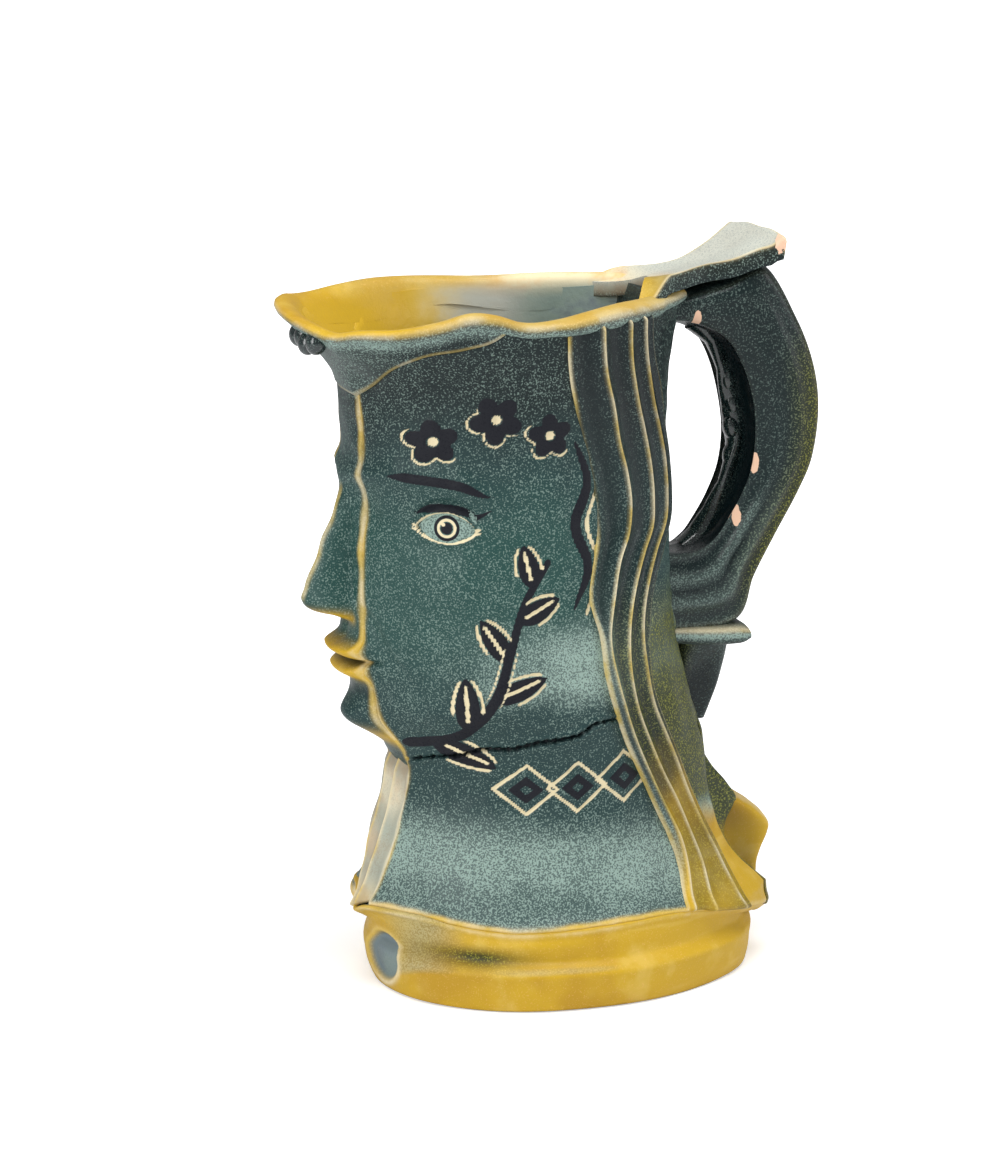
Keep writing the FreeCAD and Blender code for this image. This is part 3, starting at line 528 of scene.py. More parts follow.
def aroundFront(count, frontCount, tEnd, z, out, inset):
    # Points along the near side, the front and the far side, for arrays of z and out of that many columns.
    near = sidePoint(rowOf(count, tEnd, 0), z[:, :count], out[:, :count], inset)
    middle = frontPoint(np.linspace(-1, 1, frontCount)[None, 1:-1], z[:, count:-count], out[:, count:-count], inset)
    far = mirrored(sidePoint(rowOf(count, 0, tEnd), z[:, -count:], out[:, -count:], inset))
    return np.concatenate([near, middle, far], 1)


def spoutCollar():
    size = collarSlab
    count, frontCount = size["sideCols"], size["frontCols"]
    cols = 2 * count + frontCount - 2
    tEnd = float(sideAtX(size["endX"], 250.0))
    flat = aroundFront(count, frontCount, tEnd, np.full((1, cols), 250.0), np.zeros((1, cols)), 0)
    x, y = flat[..., 0], flat[..., 1]
    v = columnOf(size["rows"])
    high = rimUnder(x, y) + 1.0
    low = np.minimum(seamHeight(x) - 0.6, high - 1.2)
    z = low + v * (high - low)
    ends = ease(0, 0.1, np.linspace(0, 1, cols)) * ease(1, 0.9, np.linspace(0, 1, cols))
    out = (size["stand"] + 0.6 * wobble(aroundFront(count, frontCount, tEnd, z, 0 * z, 0), 20, 51)
           - edgeRoll(z - low, high - low + 5, 2.2, 1.7)) * ends[None, :]
    outer = aroundFront(count, frontCount, tEnd, z, out, 0)
    inner = aroundFront(count, frontCount, tEnd, z, 0 * z, wall["thick"])
    marks = dict(edge=0.45 * ease(2.0, 0.8, z - low), mist=0.75 * ease(6.0, 1.0, high - z) + 0.25 * ease(-70, -95, x))
    return slab("spoutCollar", outer, inner, size["step"], marks, ["spout_collar"])


rimRing = dict(sideCols=131, frontCols=61, napeCols=25, overHair=1.9, middle=256.0,
               section=[(-2.5, -2.0), (-0.3, -1.4), (0.9, -0.4), (1.5, 0.8), (1.7, 2.2), (1.3, 3.8), (0.3, 5.2),
                        (-1.2, 6.1), (-2.8, 6.4), (-4.4, 6.1), (-5.6, 5.0), (-6.3, 3.2), (-6.5, 0.6), (-6.5, -3.0),
                        (-6.4, -7.5), (-4.0, -7.5)])


def rimBand():
    size = rimRing
    side, count = rowOf(size["sideCols"]), size["sideCols"]
    front = np.linspace(-1, 1, size["frontCols"])[None, 1:-1]
    nape = np.linspace(1, -1, size["napeCols"])[None, 1:-1] * wall["napeHalf"]
    parts = np.cumsum([count, front.shape[1], count])
    cols = parts[-1] + nape.shape[1]

    def ringPoints(z, out):
        zs, outs = np.split(z, parts, 1), np.split(out, parts, 1)
        back = np.stack(np.broadcast_arrays(wallAt("back", zs[3]) + outs[3], nape, zs[3]), -1)
        return np.concatenate([sidePoint(side[:, ::-1], zs[0], outs[0]), frontPoint(front, zs[1], outs[1]),
                               mirrored(sidePoint(side, zs[2], outs[2])), back], 1)
    flat = ringPoints(np.full((1, cols), size["middle"]), np.zeros((1, cols)))
    x, y = flat[..., 0], flat[..., 1]
    section = np.array(size["section"])
    thin = 0.86 + 0.14 * np.sin(x / 11.0 + 1)
    spout = ease(-60, -100, x)
    overHair = ease(-24, -16, x) * ease(30, 24, x)
    out = section[:, :1] + size["overHair"] * overHair * (section[:, :1] > -1) + 0.6 * wobble(flat, 24, 61)
    z = rimUnder(x, y) + section[:, 1:] * thin
    points = ringPoints(z, out)
    k = np.arange(len(section))[:, None] + 0 * x
    top = ease(4.5, 6.5, k) * ease(14.5, 12, k)
    aft = ease(-28, 8, x) * ease(-10, 10, y)
    marks = dict(pale=top * (0.5 * (1 - spout) + 0.5 * aft), edge=0.6 * bump(k, 5.2, 0.9), inside=ease(10, 13, k),
                 mist=ease(5.5, 2.5, k) * 0.8, ochre=top * (0.55 + 0.45 * spout) * (1 - aft),
                 olive=0.35 * top * ease(14, 26, x) * ease(-20, -30, y))
    marks = {name: np.swapaxes(values, 0, 1) for name, values in marks.items()}
    return tube("rimBand", np.swapaxes(points, 0, 1), marks, ["rim_band"], looped=True)


# Hair: a fluted slab on each side of the nape, its arrises as x at each height.
hair = dict(rows=385, perFlute=17, step=4, deep=2.5, stand=3.0, footStand=1.9, roll=2.0,
            height=[22, 33, 45, 57, 71, 86, 99, 112, 125, 140, 156, 170, 178, 189, 200, 215, 228, 240, 270],
            arrises=[[30, 30, 30.5, 27.4, 20.8, 13.7, 7.8, 2.9, -0.8, -3,
                      -7.5, -5.5, -4, -4, -5.5, -9, -13, -16, -18],
                     [33, 33, 33, 30, 23.2, 16, 10.3, 5.4, 1.4, -1.1,
                      0.8, 3.9, 7.3, 8.5, 7.1, 3.2, 0.3, -2.9, -5.4],
                     [44, 42, 40, 35.2, 29.3, 21.4, 15.7, 10.6, 7.4, 6.9,
                      9.5, 14.6, 18.6, 19.4, 18.2, 15, 11.2, 8.6, 7],
                     [60, 55, 48.8, 42, 35.6, 29.2, 23.2, 17.8, 14.6, 13,
                      15.6, 21, 25.6, 27, 26, 22.4, 18.4, 16, 14],
                     [63, 58, 51.5, 44.5, 38, 31.5, 25.4, 20.1, 16.8, 17.2,
                      20.8, 27.6, 31, 31.8, 30.6, 27.2, 24.8, 21.2, 18.5]])


def hairSlab(name, nodes, far):
    flutes = len(hair["arrises"]) - 1
    cols = hair["perFlute"] * flutes + 1
    q = rowOf(cols, 0, flutes)
    k = np.minimum(q.astype(int), flutes - 1)
    share = q - k
    v = columnOf(hair["rows"])
    ends = [curve(range(flutes + 1), [a[end] for a in hair["arrises"]], q) for end in (0, -1)]
    top, low = rimUnder(ends[1], -45 + 90 * far) + 1.4, ledgeHeight(ends[0]) + 0.3
    z = low + v * (top - low)
    across = np.array([curve(hair["height"], a, z) for a in hair["arrises"]])
    left, right = (np.take_along_axis(across, np.broadcast_to(k + side, z.shape)[None], 0)[0] for side in (0, 1))
    x, span = left * (1 - share) + right * share, right - left
    t = sideAtX(x, z)
    base = sidePoint(t, z)
    flute = hair["deep"] * np.sin(pi * share) ** 0.75 * np.clip(span / 8, 0, 1.15) * (0.45 + 0.55 * ease(26, 70, z))
    out = hair["footStand"] + hair["stand"] * ease(26, 58, z) - flute + 0.3 * wobble(base, 26, 71 + far)
    fade = ease(172, 188, z) * ease(236, 220, z) + 0.5 * ease(150, 120, z)
    out = out - (hair["stand"] - 0.6) * ease(1.0, 0.0, q) * (0.55 + 0.45 * unit(fade)) * ease(26, 58, z)
    out = out - edgeRoll(q * 8, 8.0 * flutes, hair["roll"], 2.6) - edgeRoll(z - low, top - low, 2.0, 1.6)
    out = out + 1.0 * bump(z - low, 1.5, 2.6)
    outer, inner = sidePoint(t, z, out), sidePoint(t, z, -2.5)
    arris = unit(1 - np.sin(pi * share) * (0.35 + 0.28 * span)) ** 1.5
    arris = arris * (1 - 0.8 * unit(fade) * ease(0.6, 0.2, q) * ease(150, 170, z))
    lower = ease(88, 58, z + 6 * wobble(base, 30, 75) + 26 * ease(1.3, 0.5, q) - 2 * q)
    mist = 0.75 * bump(z, 150, 16) * arris + 0.55 * ease(2.4, 0.6, q) * bump(z, 122, 26)
    olive = (0.45 * arris + 0.75 * ease(165, 125, z) * ease(0.6, 1.4, q)) * ease(210, 150, z)
    # the flute hollows above the foot are darkened with painted shade and pooled glaze
    marks = dict(edge=unit(arris), ochre=unit(lower),
                 poolAndShade=np.sin(pi * share) ** 2 * 0.6 * ease(60, 95, z),
                 mist=mist + 0.5 * ease(1.5, 0.5, q) * bump(z, 70, 22),
                 olive=olive * (0.75 + 0.25 * wobble(base, 20, 76)))
    return slab(name, outer, inner, hair["step"], marks, nodes, 0.0, far)


# Foot: from under the ledge, in through a cove, out over a soft swell and down to the table.
foot = dict(cols=360, rows=133, centreX=-2.0, well=50.5,
            rest=(77.5, 62.2, 71.5), swell=(79.5, 64.2, 73.5), cove=(78, 60.5, 71.5),
            dentAngle=188.5, dentHeight=12.5, dentHalf=(12.0, 9.5), dentDeep=3.0, reachAt=30.0, napeAt=24.0,
            cornerAngle=172, cornerIn=6.0)


def ledgeReach(at):  # the wall's outline just above the foot, as reach from the middle at each angle
    z = np.array([[foot["reachAt"]]])
    side, half = rowOf(240), wall["napeHalf"]
    near = sidePoint(side[:, ::-1], z)[0]
    level = foot["napeAt"]
    nape = np.stack(np.broadcast_arrays(wallAt("back", level), np.linspace(half, -half, 30), level), -1)
    middle, far = frontPoint(rowOf(40, -1, 1), z)[0], mirrored(sidePoint(side, z))[0]
    loop = np.concatenate([near, middle, far, nape])
    angle = np.arctan2(loop[:, 1], loop[:, 0] - foot["centreX"])
    order = np.argsort(angle)
    return np.interp(at, angle[order], np.hypot(loop[:, 1], loop[:, 0] - foot["centreX"])[order], period=2 * pi)


def ovalReach(at, size):  # reach of an oval with its own half lengths to the front and to the back
    ahead = np.where(np.cos(at) < 0, size[0] + foot["centreX"], size[2] - foot["centreX"])
    return ahead * size[1] / np.sqrt((size[1] * np.cos(at)) ** 2 + (ahead * np.sin(at)) ** 2)


def footBand():
    at = np.linspace(-pi, pi, foot["cols"], endpoint=False)
    angle = np.degrees(at) % 360
    ledge = ledgeReach(at) - foot["cornerIn"] * bump(angle, foot["cornerAngle"], 8)
    uneven = 2.6 * bump(angle, 229, 24) - 3.6 * bump(angle, 160, 24)
    shares = dict(rest=1.0, swell=0.8, cove=0.6)
    rest, swell, cove = (ovalReach(at, foot[key]) + uneven * share for key, share in shares.items())
    top = ledgeHeight(foot["centreX"] + ledge * np.cos(at)) + 0.5
    top = top - 4.5 * np.exp(-((np.abs(at) - pi) / 0.1) ** 2)
    crease = 0.35 + 1.3 * bump(angle, 225, 34)
    profile = [(top, foot["well"]), (top, ledge - 6), (top, ledge - 0.9), (top - 1.2, ledge - 0.1),
               (top - 3.4, 0.55 * ledge + 0.45 * cove - 0.8), (top * 0.35 + 13.6, 0.12 * ledge + 0.88 * cove - 0.8),
               (19.4, cove - crease), (16.8, 0.5 * cove + 0.5 * swell), (14.4, swell + 0.3), (10.5, swell),
               (6.5, 0.8 * swell + 0.2 * rest), (3.0, 0.4 * swell + 0.6 * rest), (1.0, rest + 0.1), (0.1, rest - 1.3),
               (0, rest - 4), (0, foot["well"])]
    knots = np.array([np.stack(np.broadcast_arrays(reach, 0 * at, height), -1) for height, reach in profile])
    rows = throughRings(knots, foot["rows"])
    reach, z = np.maximum(rows[..., 0], foot["well"]), np.maximum(rows[..., 2], 0)
    flat = np.stack([reach * np.cos(at), reach * np.sin(at), z], -1)
    k = columnOf(foot["rows"], 0, len(profile) - 1)
    shown = ease(1.2, 2, k) * ease(13, 12, k)
    (dentWide, dentTall), aside = foot["dentHalf"], np.radians(angle - foot["dentAngle"]) * swell
    away = np.hypot(aside / dentWide, (z - foot["dentHeight"]) / dentTall)
    dent = ease(1.05, 0.75, away)
    reach = reach + shown * 0.7 * wobble(flat, 34, 81) - foot["dentDeep"] * dent * shown
    rings = np.stack([foot["centreX"] + reach * np.cos(at), reach * np.sin(at), z], -1)
    greyish = bump(angle, 205, 17) * ease(10, 16, z + 5 * bump(angle, 196, 9)) * (1 - dent)
    ridge = bump(z, 16.0, 1.8) * ease(222, 236, angle) * ease(290, 262, angle)
    mist = unit(0.75 * greyish + 0.5 * ridge)
    # a strip in the cove low on the foot is darkened with painted shade and pooled glaze
    marks = dict(ochre=unit(shown * (1 - dent) * (1 - 0.75 * mist)), mist=mist * shown, grey=dent * shown,
                 edge=shown * (0.9 * bump(away, 1.06, 0.12) + 0.45 * bump(k, 3, 0.5)),
                 poolAndShade=0.25 * shown * bump(z, 19.0, 1.6) * bump(angle, 236, 30),
                 olive=1.3 * shown * bump(z, 20.5 - 0.04 * (angle - 215), 3.4) * bump(angle, 221, 15))
    return tube("footBand", rings, marks, ["foot_band"], looped=True)


disc = dict(cols=96, ochre=0.7,
            profile=[(4, 8.0), (18, 8.2), (34, 8.3), (44, 8.0), (49.2, 7.2), (49.6, 5.5), (49.6, 1.2), (49.0, 0.3),
                     (47.5, 0.0), (30, 0.0), (6, 0.0)])


def floorDisc():
    at = np.linspace(0, 2 * pi, disc["cols"], endpoint=False)
    profile = disc["profile"]
    rings = np.array([np.stack([reach * np.cos(at), reach * np.sin(at), z + 0 * at], -1) for reach, z in profile])
    return tube("floorDisc", rings, dict(ochre=disc["ochre"]), ["floor_disc"])


# Handle: a strap swept round the finger opening between an inner and an outer line, given as x and z.
strap = dict(
    inner=[(28, 249.5), (40, 249.8), (50, 246.8), (58.5, 240), (64.2, 230), (67.6, 218), (69, 204), (67.6, 191),
           (63.2, 180), (58, 171.5), (53, 165.5), (45, 162.2), (30, 162)],
    outer=[(30, 259), (44, 260.5), (59, 263), (75.5, 267.5), (87.6, 248), (94.6, 231), (97.8, 211), (95.6, 194),
           (89.6, 180), (80.5, 163.5), (71.8, 148), (64.8, 131.6), (38, 129.5)],
    wide=[21, 20.6, 20.2, 20.2, 20.4, 20.4, 20.2, 20, 19.7, 19.6, 19.8, 20.2, 21], lean=0.158, drop=3.1,
    rows=289, cols=168, flutes=3, fluteDeep=[0, 0, 0.3, 0.7, 1.1, 1.4, 1.5, 1.6, 1.9, 2.4, 2.9, 3.0, 2.6],
    channel=[0, 0.5, 2.5, 4, 4.4, 4.4, 4.4, 4.4, 4.2, 3.6, 2.4, 1.2, 0],
    chips=[(98.4, 213.5), (96.6, 190), (70.6, 193), (63.6, 173), (46, 250.6)])


def handleStrap():
    inner, outer = np.array(strap["inner"], float), np.array(strap["outer"], float)
    line = np.stack([inner, outer], 1)
    line = throughRings(np.concatenate([line, np.zeros((len(line), 2, 1))], -1), strap["rows"])[..., :2]
    knots, place = np.arange(len(inner)), np.linspace(0, len(inner) - 1, strap["rows"])
    wide, fluteDeep, channel = (curve(knots, strap[key], place)[:, None]
                                for key in ("wide", "fluteDeep", "channel"))
    p, q = squared(strap["cols"], 0.38)
    share = (p + 1) / 2 + 0 * place[:, None]
    flute = np.abs(np.sin(pi * unit(share * 1.06 - 0.03) * strap["flutes"])) ** 0.8
    flute = ease(0.75, 0.98, np.abs(q)) * flute
    groove = ease(-0.5, -0.95, p) * np.sin(pi * unit((np.abs(q) - 0.06) / 0.82)) ** 0.7
    span = line[:, 1] - line[:, 0]
    size = np.hypot(span[:, 0], span[:, 1])[:, None]
    at = share + groove * channel / size + 0.8 * (1 - q ** 2) * ease(0.6, 0.95, p) / size
    y = q * wide - np.sign(q) * flute * fluteDeep
    rings = np.stack([line[:, :1, 0] + at * span[:, :1], y + 0 * at, line[:, :1, 1] + at * span[:, 1:]], -1)
    # the opening leans, its left side up
    rings[..., 2] -= (strap["drop"] + strap["lean"] * rings[..., 1]) * ease(0.9, 0.1, share)
    rings = rings + (0.5 * wobble(rings, 30, 91))[..., None] * np.array([0.7, 0, 0.7])
    along = (place / place[-1])[:, None]
    corner = bump(np.abs(q), 1.0, 0.1) * bump(np.abs(p), 1.0, 0.1)
    edge = corner * (ease(-0.2, 0.4, p) * (0.35 + 0.65 * ease(0.3, 0.5, along)) + 0.2)
    olive = ease(-0.1, 0.9, p) * ease(0.32, 0.5, along) * ease(0.95, 0.75, along)
    chips = sum(ease(2.6, 1.0, np.hypot((rings[..., 0] - x) * 1.1, (rings[..., 2] - z) * 0.45)) * (rings[..., 1] < -12)
                for x, z in strap["chips"])
    # the inner channel and the root flutes are darkened with painted shade and pooled glaze
    poolAndShade = 1.3 * groove * ease(0.06, 0.16, along) * ease(1.0, 0.9, along) + 0.4 * flute * fluteDeep / 3
    marks = dict(edge=edge, olive=0.9 * olive, chip=unit(chips), poolAndShade=unit(poolAndShade),
                 mist=0.55 * (1 - flute) * ease(0.6, 0.75, along) * ease(0.8, 1, np.abs(q)))
    return tube("handleStrap", rings, marks, ["handle_strap"])


roll = dict(x=[38, 48, 58, 65.5, 69.0], z=[128.2, 127.8, 127.2, 126.6, 126.4], half=[4.2, 4.4, 4.3, 4.0, 2.4],
            wide=[21, 21.8, 22, 21.8, 20.4], rows=73, cols=64)


def handleRoll():
    place, knots = np.linspace(0, 4, roll["rows"]), np.arange(5)
    x, z, half, wide = (curve(knots, roll[key], place)[:, None] for key in ("x", "z", "half", "wide"))
    p, q = squared(roll["cols"], 0.62)
    rings = np.stack(np.broadcast_arrays(x, q * wide, z + p * half), -1)
    rings = rings + (0.35 * wobble(rings, 16, 101))[..., None] * np.array([0.3, 0.5, 1.0])
    flank = ease(0.5, 0.95, np.abs(q))
    # the pale band along the middle of the roll's sides is a painted highlight
    marks = dict(mist=bump(p, 0.15, 0.3) * flank, edge=0.7 * bump(p, 0.62, 0.2) * flank)
    return tube("handleRoll", rings, marks, ["handle_roll"])


thumb = dict(rows=113, cols=101, step=4, root=14.5, farRoot=19, mouth=32.5, tip=79.6, thick=5.6, highest=283.6,
             x=[14, 27, 38, 50, 62, 72, 80],
             half=[36, 31, 25.5, 20.5, 20.8, 23.2, 25], nearX=[14, 22, 36, 50, 62, 70, 76, 78.5, 80],
             nearZ=[267.0, 270.2, 271.2, 272, 273.6, 276.6, 279.0, 281.6, 283.2],
             farX=[14, 27, 39, 46, 58, 66, 73.6, 80],
             farZ=[259.5, 261.8, 263.4, 264.4, 267.2, 271.4, 276.2, 279.4])


def thumbRest():
    u = columnOf(thumb["rows"])
    s = rowOf(thumb["cols"], -1, 1)
    ends = np.where(s < 0, thumb["root"], thumb["farRoot"])
    root = thumb["mouth"] - (thumb["mouth"] - ends) * np.abs(s) ** 1.7
    x = root + (thumb["tip"] - 2.5 * ease(0.5, 1, s) - root) * u
    half = curve(thumb["x"], thumb["half"], x)
    y = s * half * (1 + 0.015 * np.sin(x / 4.0))
    near, far = (curve(thumb[side + "X"], thumb[side + "Z"], x) for side in ("near", "far"))
    base = np.stack([x, y, 0 * x], -1)
    top = near + (far - near) * ease(-1.1, 1.1, s) - 2.4 * (1 - s * s) * ease(86, 40, x) + 0.4 * wobble(base, 22, 111)
    top = top - 3.6 * ease(0.26, 0, u) * ease(-0.1, 0.8, s) - 9.5 * ease(-0.5, -1, s) * ease(33, 21, x)
    top = top - edgeRoll((s + 1) * half, 2 * half, 2.0, 1.6) - edgeRoll(u * 50, 50, 1.6, 1.6) * (u > 0.5)
    upper = np.stack([x, y, np.minimum(top, thumb["highest"])], -1)
    lower = np.stack([x - 0.8 * ease(0.8, 1, u), y * 0.97, top - thumb["thick"] - 1.2 * ease(70, 80, x)], -1)
    fromEdge = np.minimum(1 + s, 1 - s) * half
    brim = ease(1.3, 0.5, fromEdge)
    facet = ease(38, 28, x) * ease(-0.2, -0.56, s)
    mouth = ease(0.03, 0, u) * ease(-0.6, -0.4, s)
    flat = 1 - brim
    marks = dict(pale=(1 - 0.9 * facet) * flat, grey=np.maximum(0.95 * ease(22, 45, x), mouth) * flat,
                 olive=0.3 * facet * flat * ease(14, 30, x), ochre=facet * flat * (0.75 + 0.25 * wobble(base, 14, 112)),
                 edge=unit(bump(fromEdge, 1.5, 0.8) + ease(0.975, 0.99, u)) * 0.6,
                 chip=ease(5.5, 2.5, np.hypot(x - 80, (y + 24.0) * 0.8)))
    return slab("thumbRest", upper, lower, thumb["step"], marks, ["thumb_rest"], 0.0)


fin = dict(rows=61, cols=72, top=125, tall=33.5, root=42, back=63.5, taper=6.5, half=17.8, narrowing=12.6, groove=1.6)


def handleFin():
    # The wedge under the root roll, hollowed by a groove on each side.
    v = columnOf(fin["rows"])
    p, q = squared(fin["cols"], 0.5)
    z = fin["top"] - fin["tall"] * v
    back = fin["back"] - fin["taper"] * v + 1.4 * np.sin(pi * v)
    half = fin["half"] - fin["narrowing"] * v ** 0.9
    deep = (back - fin["root"]) / 2
    groove = ease(0.7, 1, np.abs(q)) * np.sin(pi * (p + 1) / 2) * np.sin(pi * unit(v * 1.05))
    y = q * half - np.sign(q) * fin["groove"] * groove
    rings = np.stack(np.broadcast_arrays(fin["root"] + deep + p * deep, y, z - 0.8 * p * v), -1)
    rings = rings + (0.35 * wobble(rings, 12, 121))[..., None] * np.array([0.6, 0.4, 0])
    # the side grooves are darkened with painted shade and pooled glaze
    marks = dict(edge=0.4 * ease(0.85, 1.0, p) * ease(0.2, 0.6, v), olive=0.6 * ease(0.3, 1.0, -p),
                 poolAndShade=0.4 * fin["groove"] * groove)
    return tube("handleFin", rings, marks, ["handle_fin"])


spur = dict(rows=81, cols=72, low=23.5, tall=34.5, sunk=5, groove=1.5, lean=1.5, taper=0.12,
            share=[0, 0.12, 0.25, 0.4, 0.55, 0.64, 0.74, 0.86, 1.0],
            back=[77.5, 77.8, 78.4, 80.6, 83.2, 84.0, 82.4, 78.0, 71.0],
            half=[9.0, 8.6, 8.3, 8.0, 7.4, 6.8, 6.6, 6.8, 7.6])


def tailSpur():
    # The pinched spur low on the nape, swept up from the ledge.
    v = columnOf(spur["rows"])
    p, q = squared(spur["cols"], 0.5)
    back, half = (curve(spur["share"], spur[key], v) for key in ("back", "half"))
    z = spur["low"] + spur["tall"] * v
    root = wallAt("back", z) - spur["sunk"]
    deep = (back - root) / 2
    groove = spur["groove"] * ease(0.75, 1, np.abs(q)) * np.sin(pi * (p + 1) / 2)
    y = (q * half - np.sign(q) * groove) * (1 - spur["taper"] * ease(0.1, 1, p))
    rings = np.stack(np.broadcast_arrays(root + deep + p * deep, y, z + spur["lean"] * q * v), -1)
    rings = rings + (0.35 * wobble(rings, 11, 131))[..., None] * np.array([0.6, 0.4, 0])
    # the side grooves are darkened with painted shade and pooled glaze
    marks = dict(ochre=1, edge=0.5 * ease(0.9, 1.0, p), poolAndShade=0.4 * groove, mist=0.3 * ease(0.5, 1, p))
    return tube("tailSpur", rings, marks, ["tail_spur"])


pellet = dict(rows=49, cols=81, step=4, wide=11.5, tall=6.2, swell=2.9, sunk=1.2, thick=2.4, pupil=2.4, iris=3.9)


def eyeball(name, nodes, far):
    h, g = rowOf(pellet["cols"], -1, 1), columnOf(pellet["rows"], -1, 1)
    w = face["eyeFromMiddle"] + pellet["wide"] * h + 0 * g
    z = face["eye"] + 0.8 + pellet["tall"] * g + 0 * h
    t = (w - cheekSlab["faceCorner"]) / sideLength(z)
    swell = pellet["swell"] * unit(1 - (h * 0.98) ** 2 * 0.9 - (g * 0.95) ** 2 * 0.75) ** 0.6
    under = faceRelief(w, z) - pellet["sunk"]
    outer, inner = sidePoint(t, z, under + swell), sidePoint(t, z, under - pellet["thick"])
    aside, above = w - face["eyeFromMiddle"], z - face["eye"]
    away = np.hypot(aside - 0.5, above - 0.6)
    # painted glint: a small cream spot on the eye, carried in the cut mark
    glint = ease(0.9, 0.5, np.hypot(aside + 0.8, above - 2.0))
    pupil = ease(pellet["pupil"], pellet["pupil"] - 0.5, away)
    marks = dict(mist=0.85 * ease(pellet["iris"], pellet["iris"] + 0.5, away),
                 cut=np.maximum(glint, ease(0.7, 0.3, np.abs(away - 3.1))),
                 ink=unit(np.maximum(pupil, bump(away, 4.3, 0.6)) - glint))
    return slab(name, outer, inner, pellet["step"], marks, nodes, 0.0, far)


# Node trees: one class for sums of sockets, one for the nodes.
class Value:  # a socket that takes sums and products
    def __init__(self, graph, socket):
        self.graph, self.socket = graph, socket

    def math(self, operation, other, turned=False):
        pair = [other, self] if turned else [self, other]
        return self.graph.add("ShaderNodeMath", dict(operation=operation), dict(enumerate(pair)))

    def __add__(self, other):
        return self.math("ADD", other)

    def __sub__(self, other):
        return self.math("SUBTRACT", other)

    def __rsub__(self, other):
        return self.math("SUBTRACT", other, True)

    def __mul__(self, other):
        return self.math("MULTIPLY", other)

    __radd__, __rmul__ = __add__, __mul__

    def clamp(self):
        return self.graph.add("ShaderNodeClamp", {}, {0: self})

    def span(self, low, high):  # 0 at low, 1 at high, eased
        return self.graph.add("ShaderNodeMapRange", dict(interpolation_type="SMOOTHSTEP"), {0: self, 1: low, 2: high})


class Graph:
    def __init__(self, tree):
        self.nodes, self.links = tree.nodes, tree.links
        self.nodes.clear()

    def add(self, kind, settings, inputs, out=0):
        node = self.nodes.new(kind)
        for key, value in settings.items():
            setattr(node, key, value)
        for key, value in inputs.items():
            if isinstance(value, Value):
                self.links.new(value.socket, node.inputs[key])
            elif isinstance(value, tuple) and node.inputs[key].type == "RGBA":
                node.inputs[key].default_value = (*value, 1)
            else:
                node.inputs[key].default_value = value
        return Value(self, node.outputs[out]) if len(node.outputs) else node

    def mark(self, name):
        return self.add("ShaderNodeAttribute", dict(attribute_name=name), {}, "Fac")

    def noise(self, place, scale, detail=3.0, rough=0.55):
        return self.add("ShaderNodeTexNoise", {},
                        {"Vector": place, "Scale": scale, "Detail": detail, "Roughness": rough})

    def mix(self, factor, under, over):
        return self.add("ShaderNodeMix", dict(data_type="RGBA"), {0: factor, 6: under, 7: over}, 2)


# Glaze: one recipe for all, steered by marks on the meshes.
glazeColours = dict(
    navy=(0.0060, 0.0145, 0.0150), teal=(0.0150, 0.043, 0.043), green=(0.0180, 0.066, 0.057), mist=(0.225, 0.30, 0.272),
    speck=(0.34, 0.47, 0.41), ochre=(0.56, 0.350, 0.017), amber=(0.40, 0.215, 0.012), straw=(0.72, 0.53, 0.14),
    peach=(0.80, 0.49, 0.19), cream=(0.78, 0.68, 0.44), bone=(0.52, 0.54, 0.48), grey=(0.165, 0.215, 0.235),
    olive=(0.034, 0.040, 0.009), moss=(0.40, 0.40, 0.045), ink=(0.005, 0.006, 0.011), clay=(0.80, 0.52, 0.36),
    deep=(0.003, 0.006, 0.008))
noiseScale = dict(broad=22.0, patch=60.0, dents=170.0, grain=420.0, fine=1550.0)
# band heights; the low misty band and the high band are partly pale crystals and partly painted reflection
bandHeight = dict(dark=(196.0, 240.0), greenLow=(112.0, 150.0), greenHigh=(212.0, 178.0), lowMistAndReflection=(74.0, 55.0),
                  lowFade=(36.0, 50.0), highFrom=(110.0, 124.0), highTo=(152.0, 134.0), bareTop=(190.0, 235.0),
                  bareFrom=(76.0, 88.0), bareTo=(116.0, 104.0), throat=(248.0, 222.0))


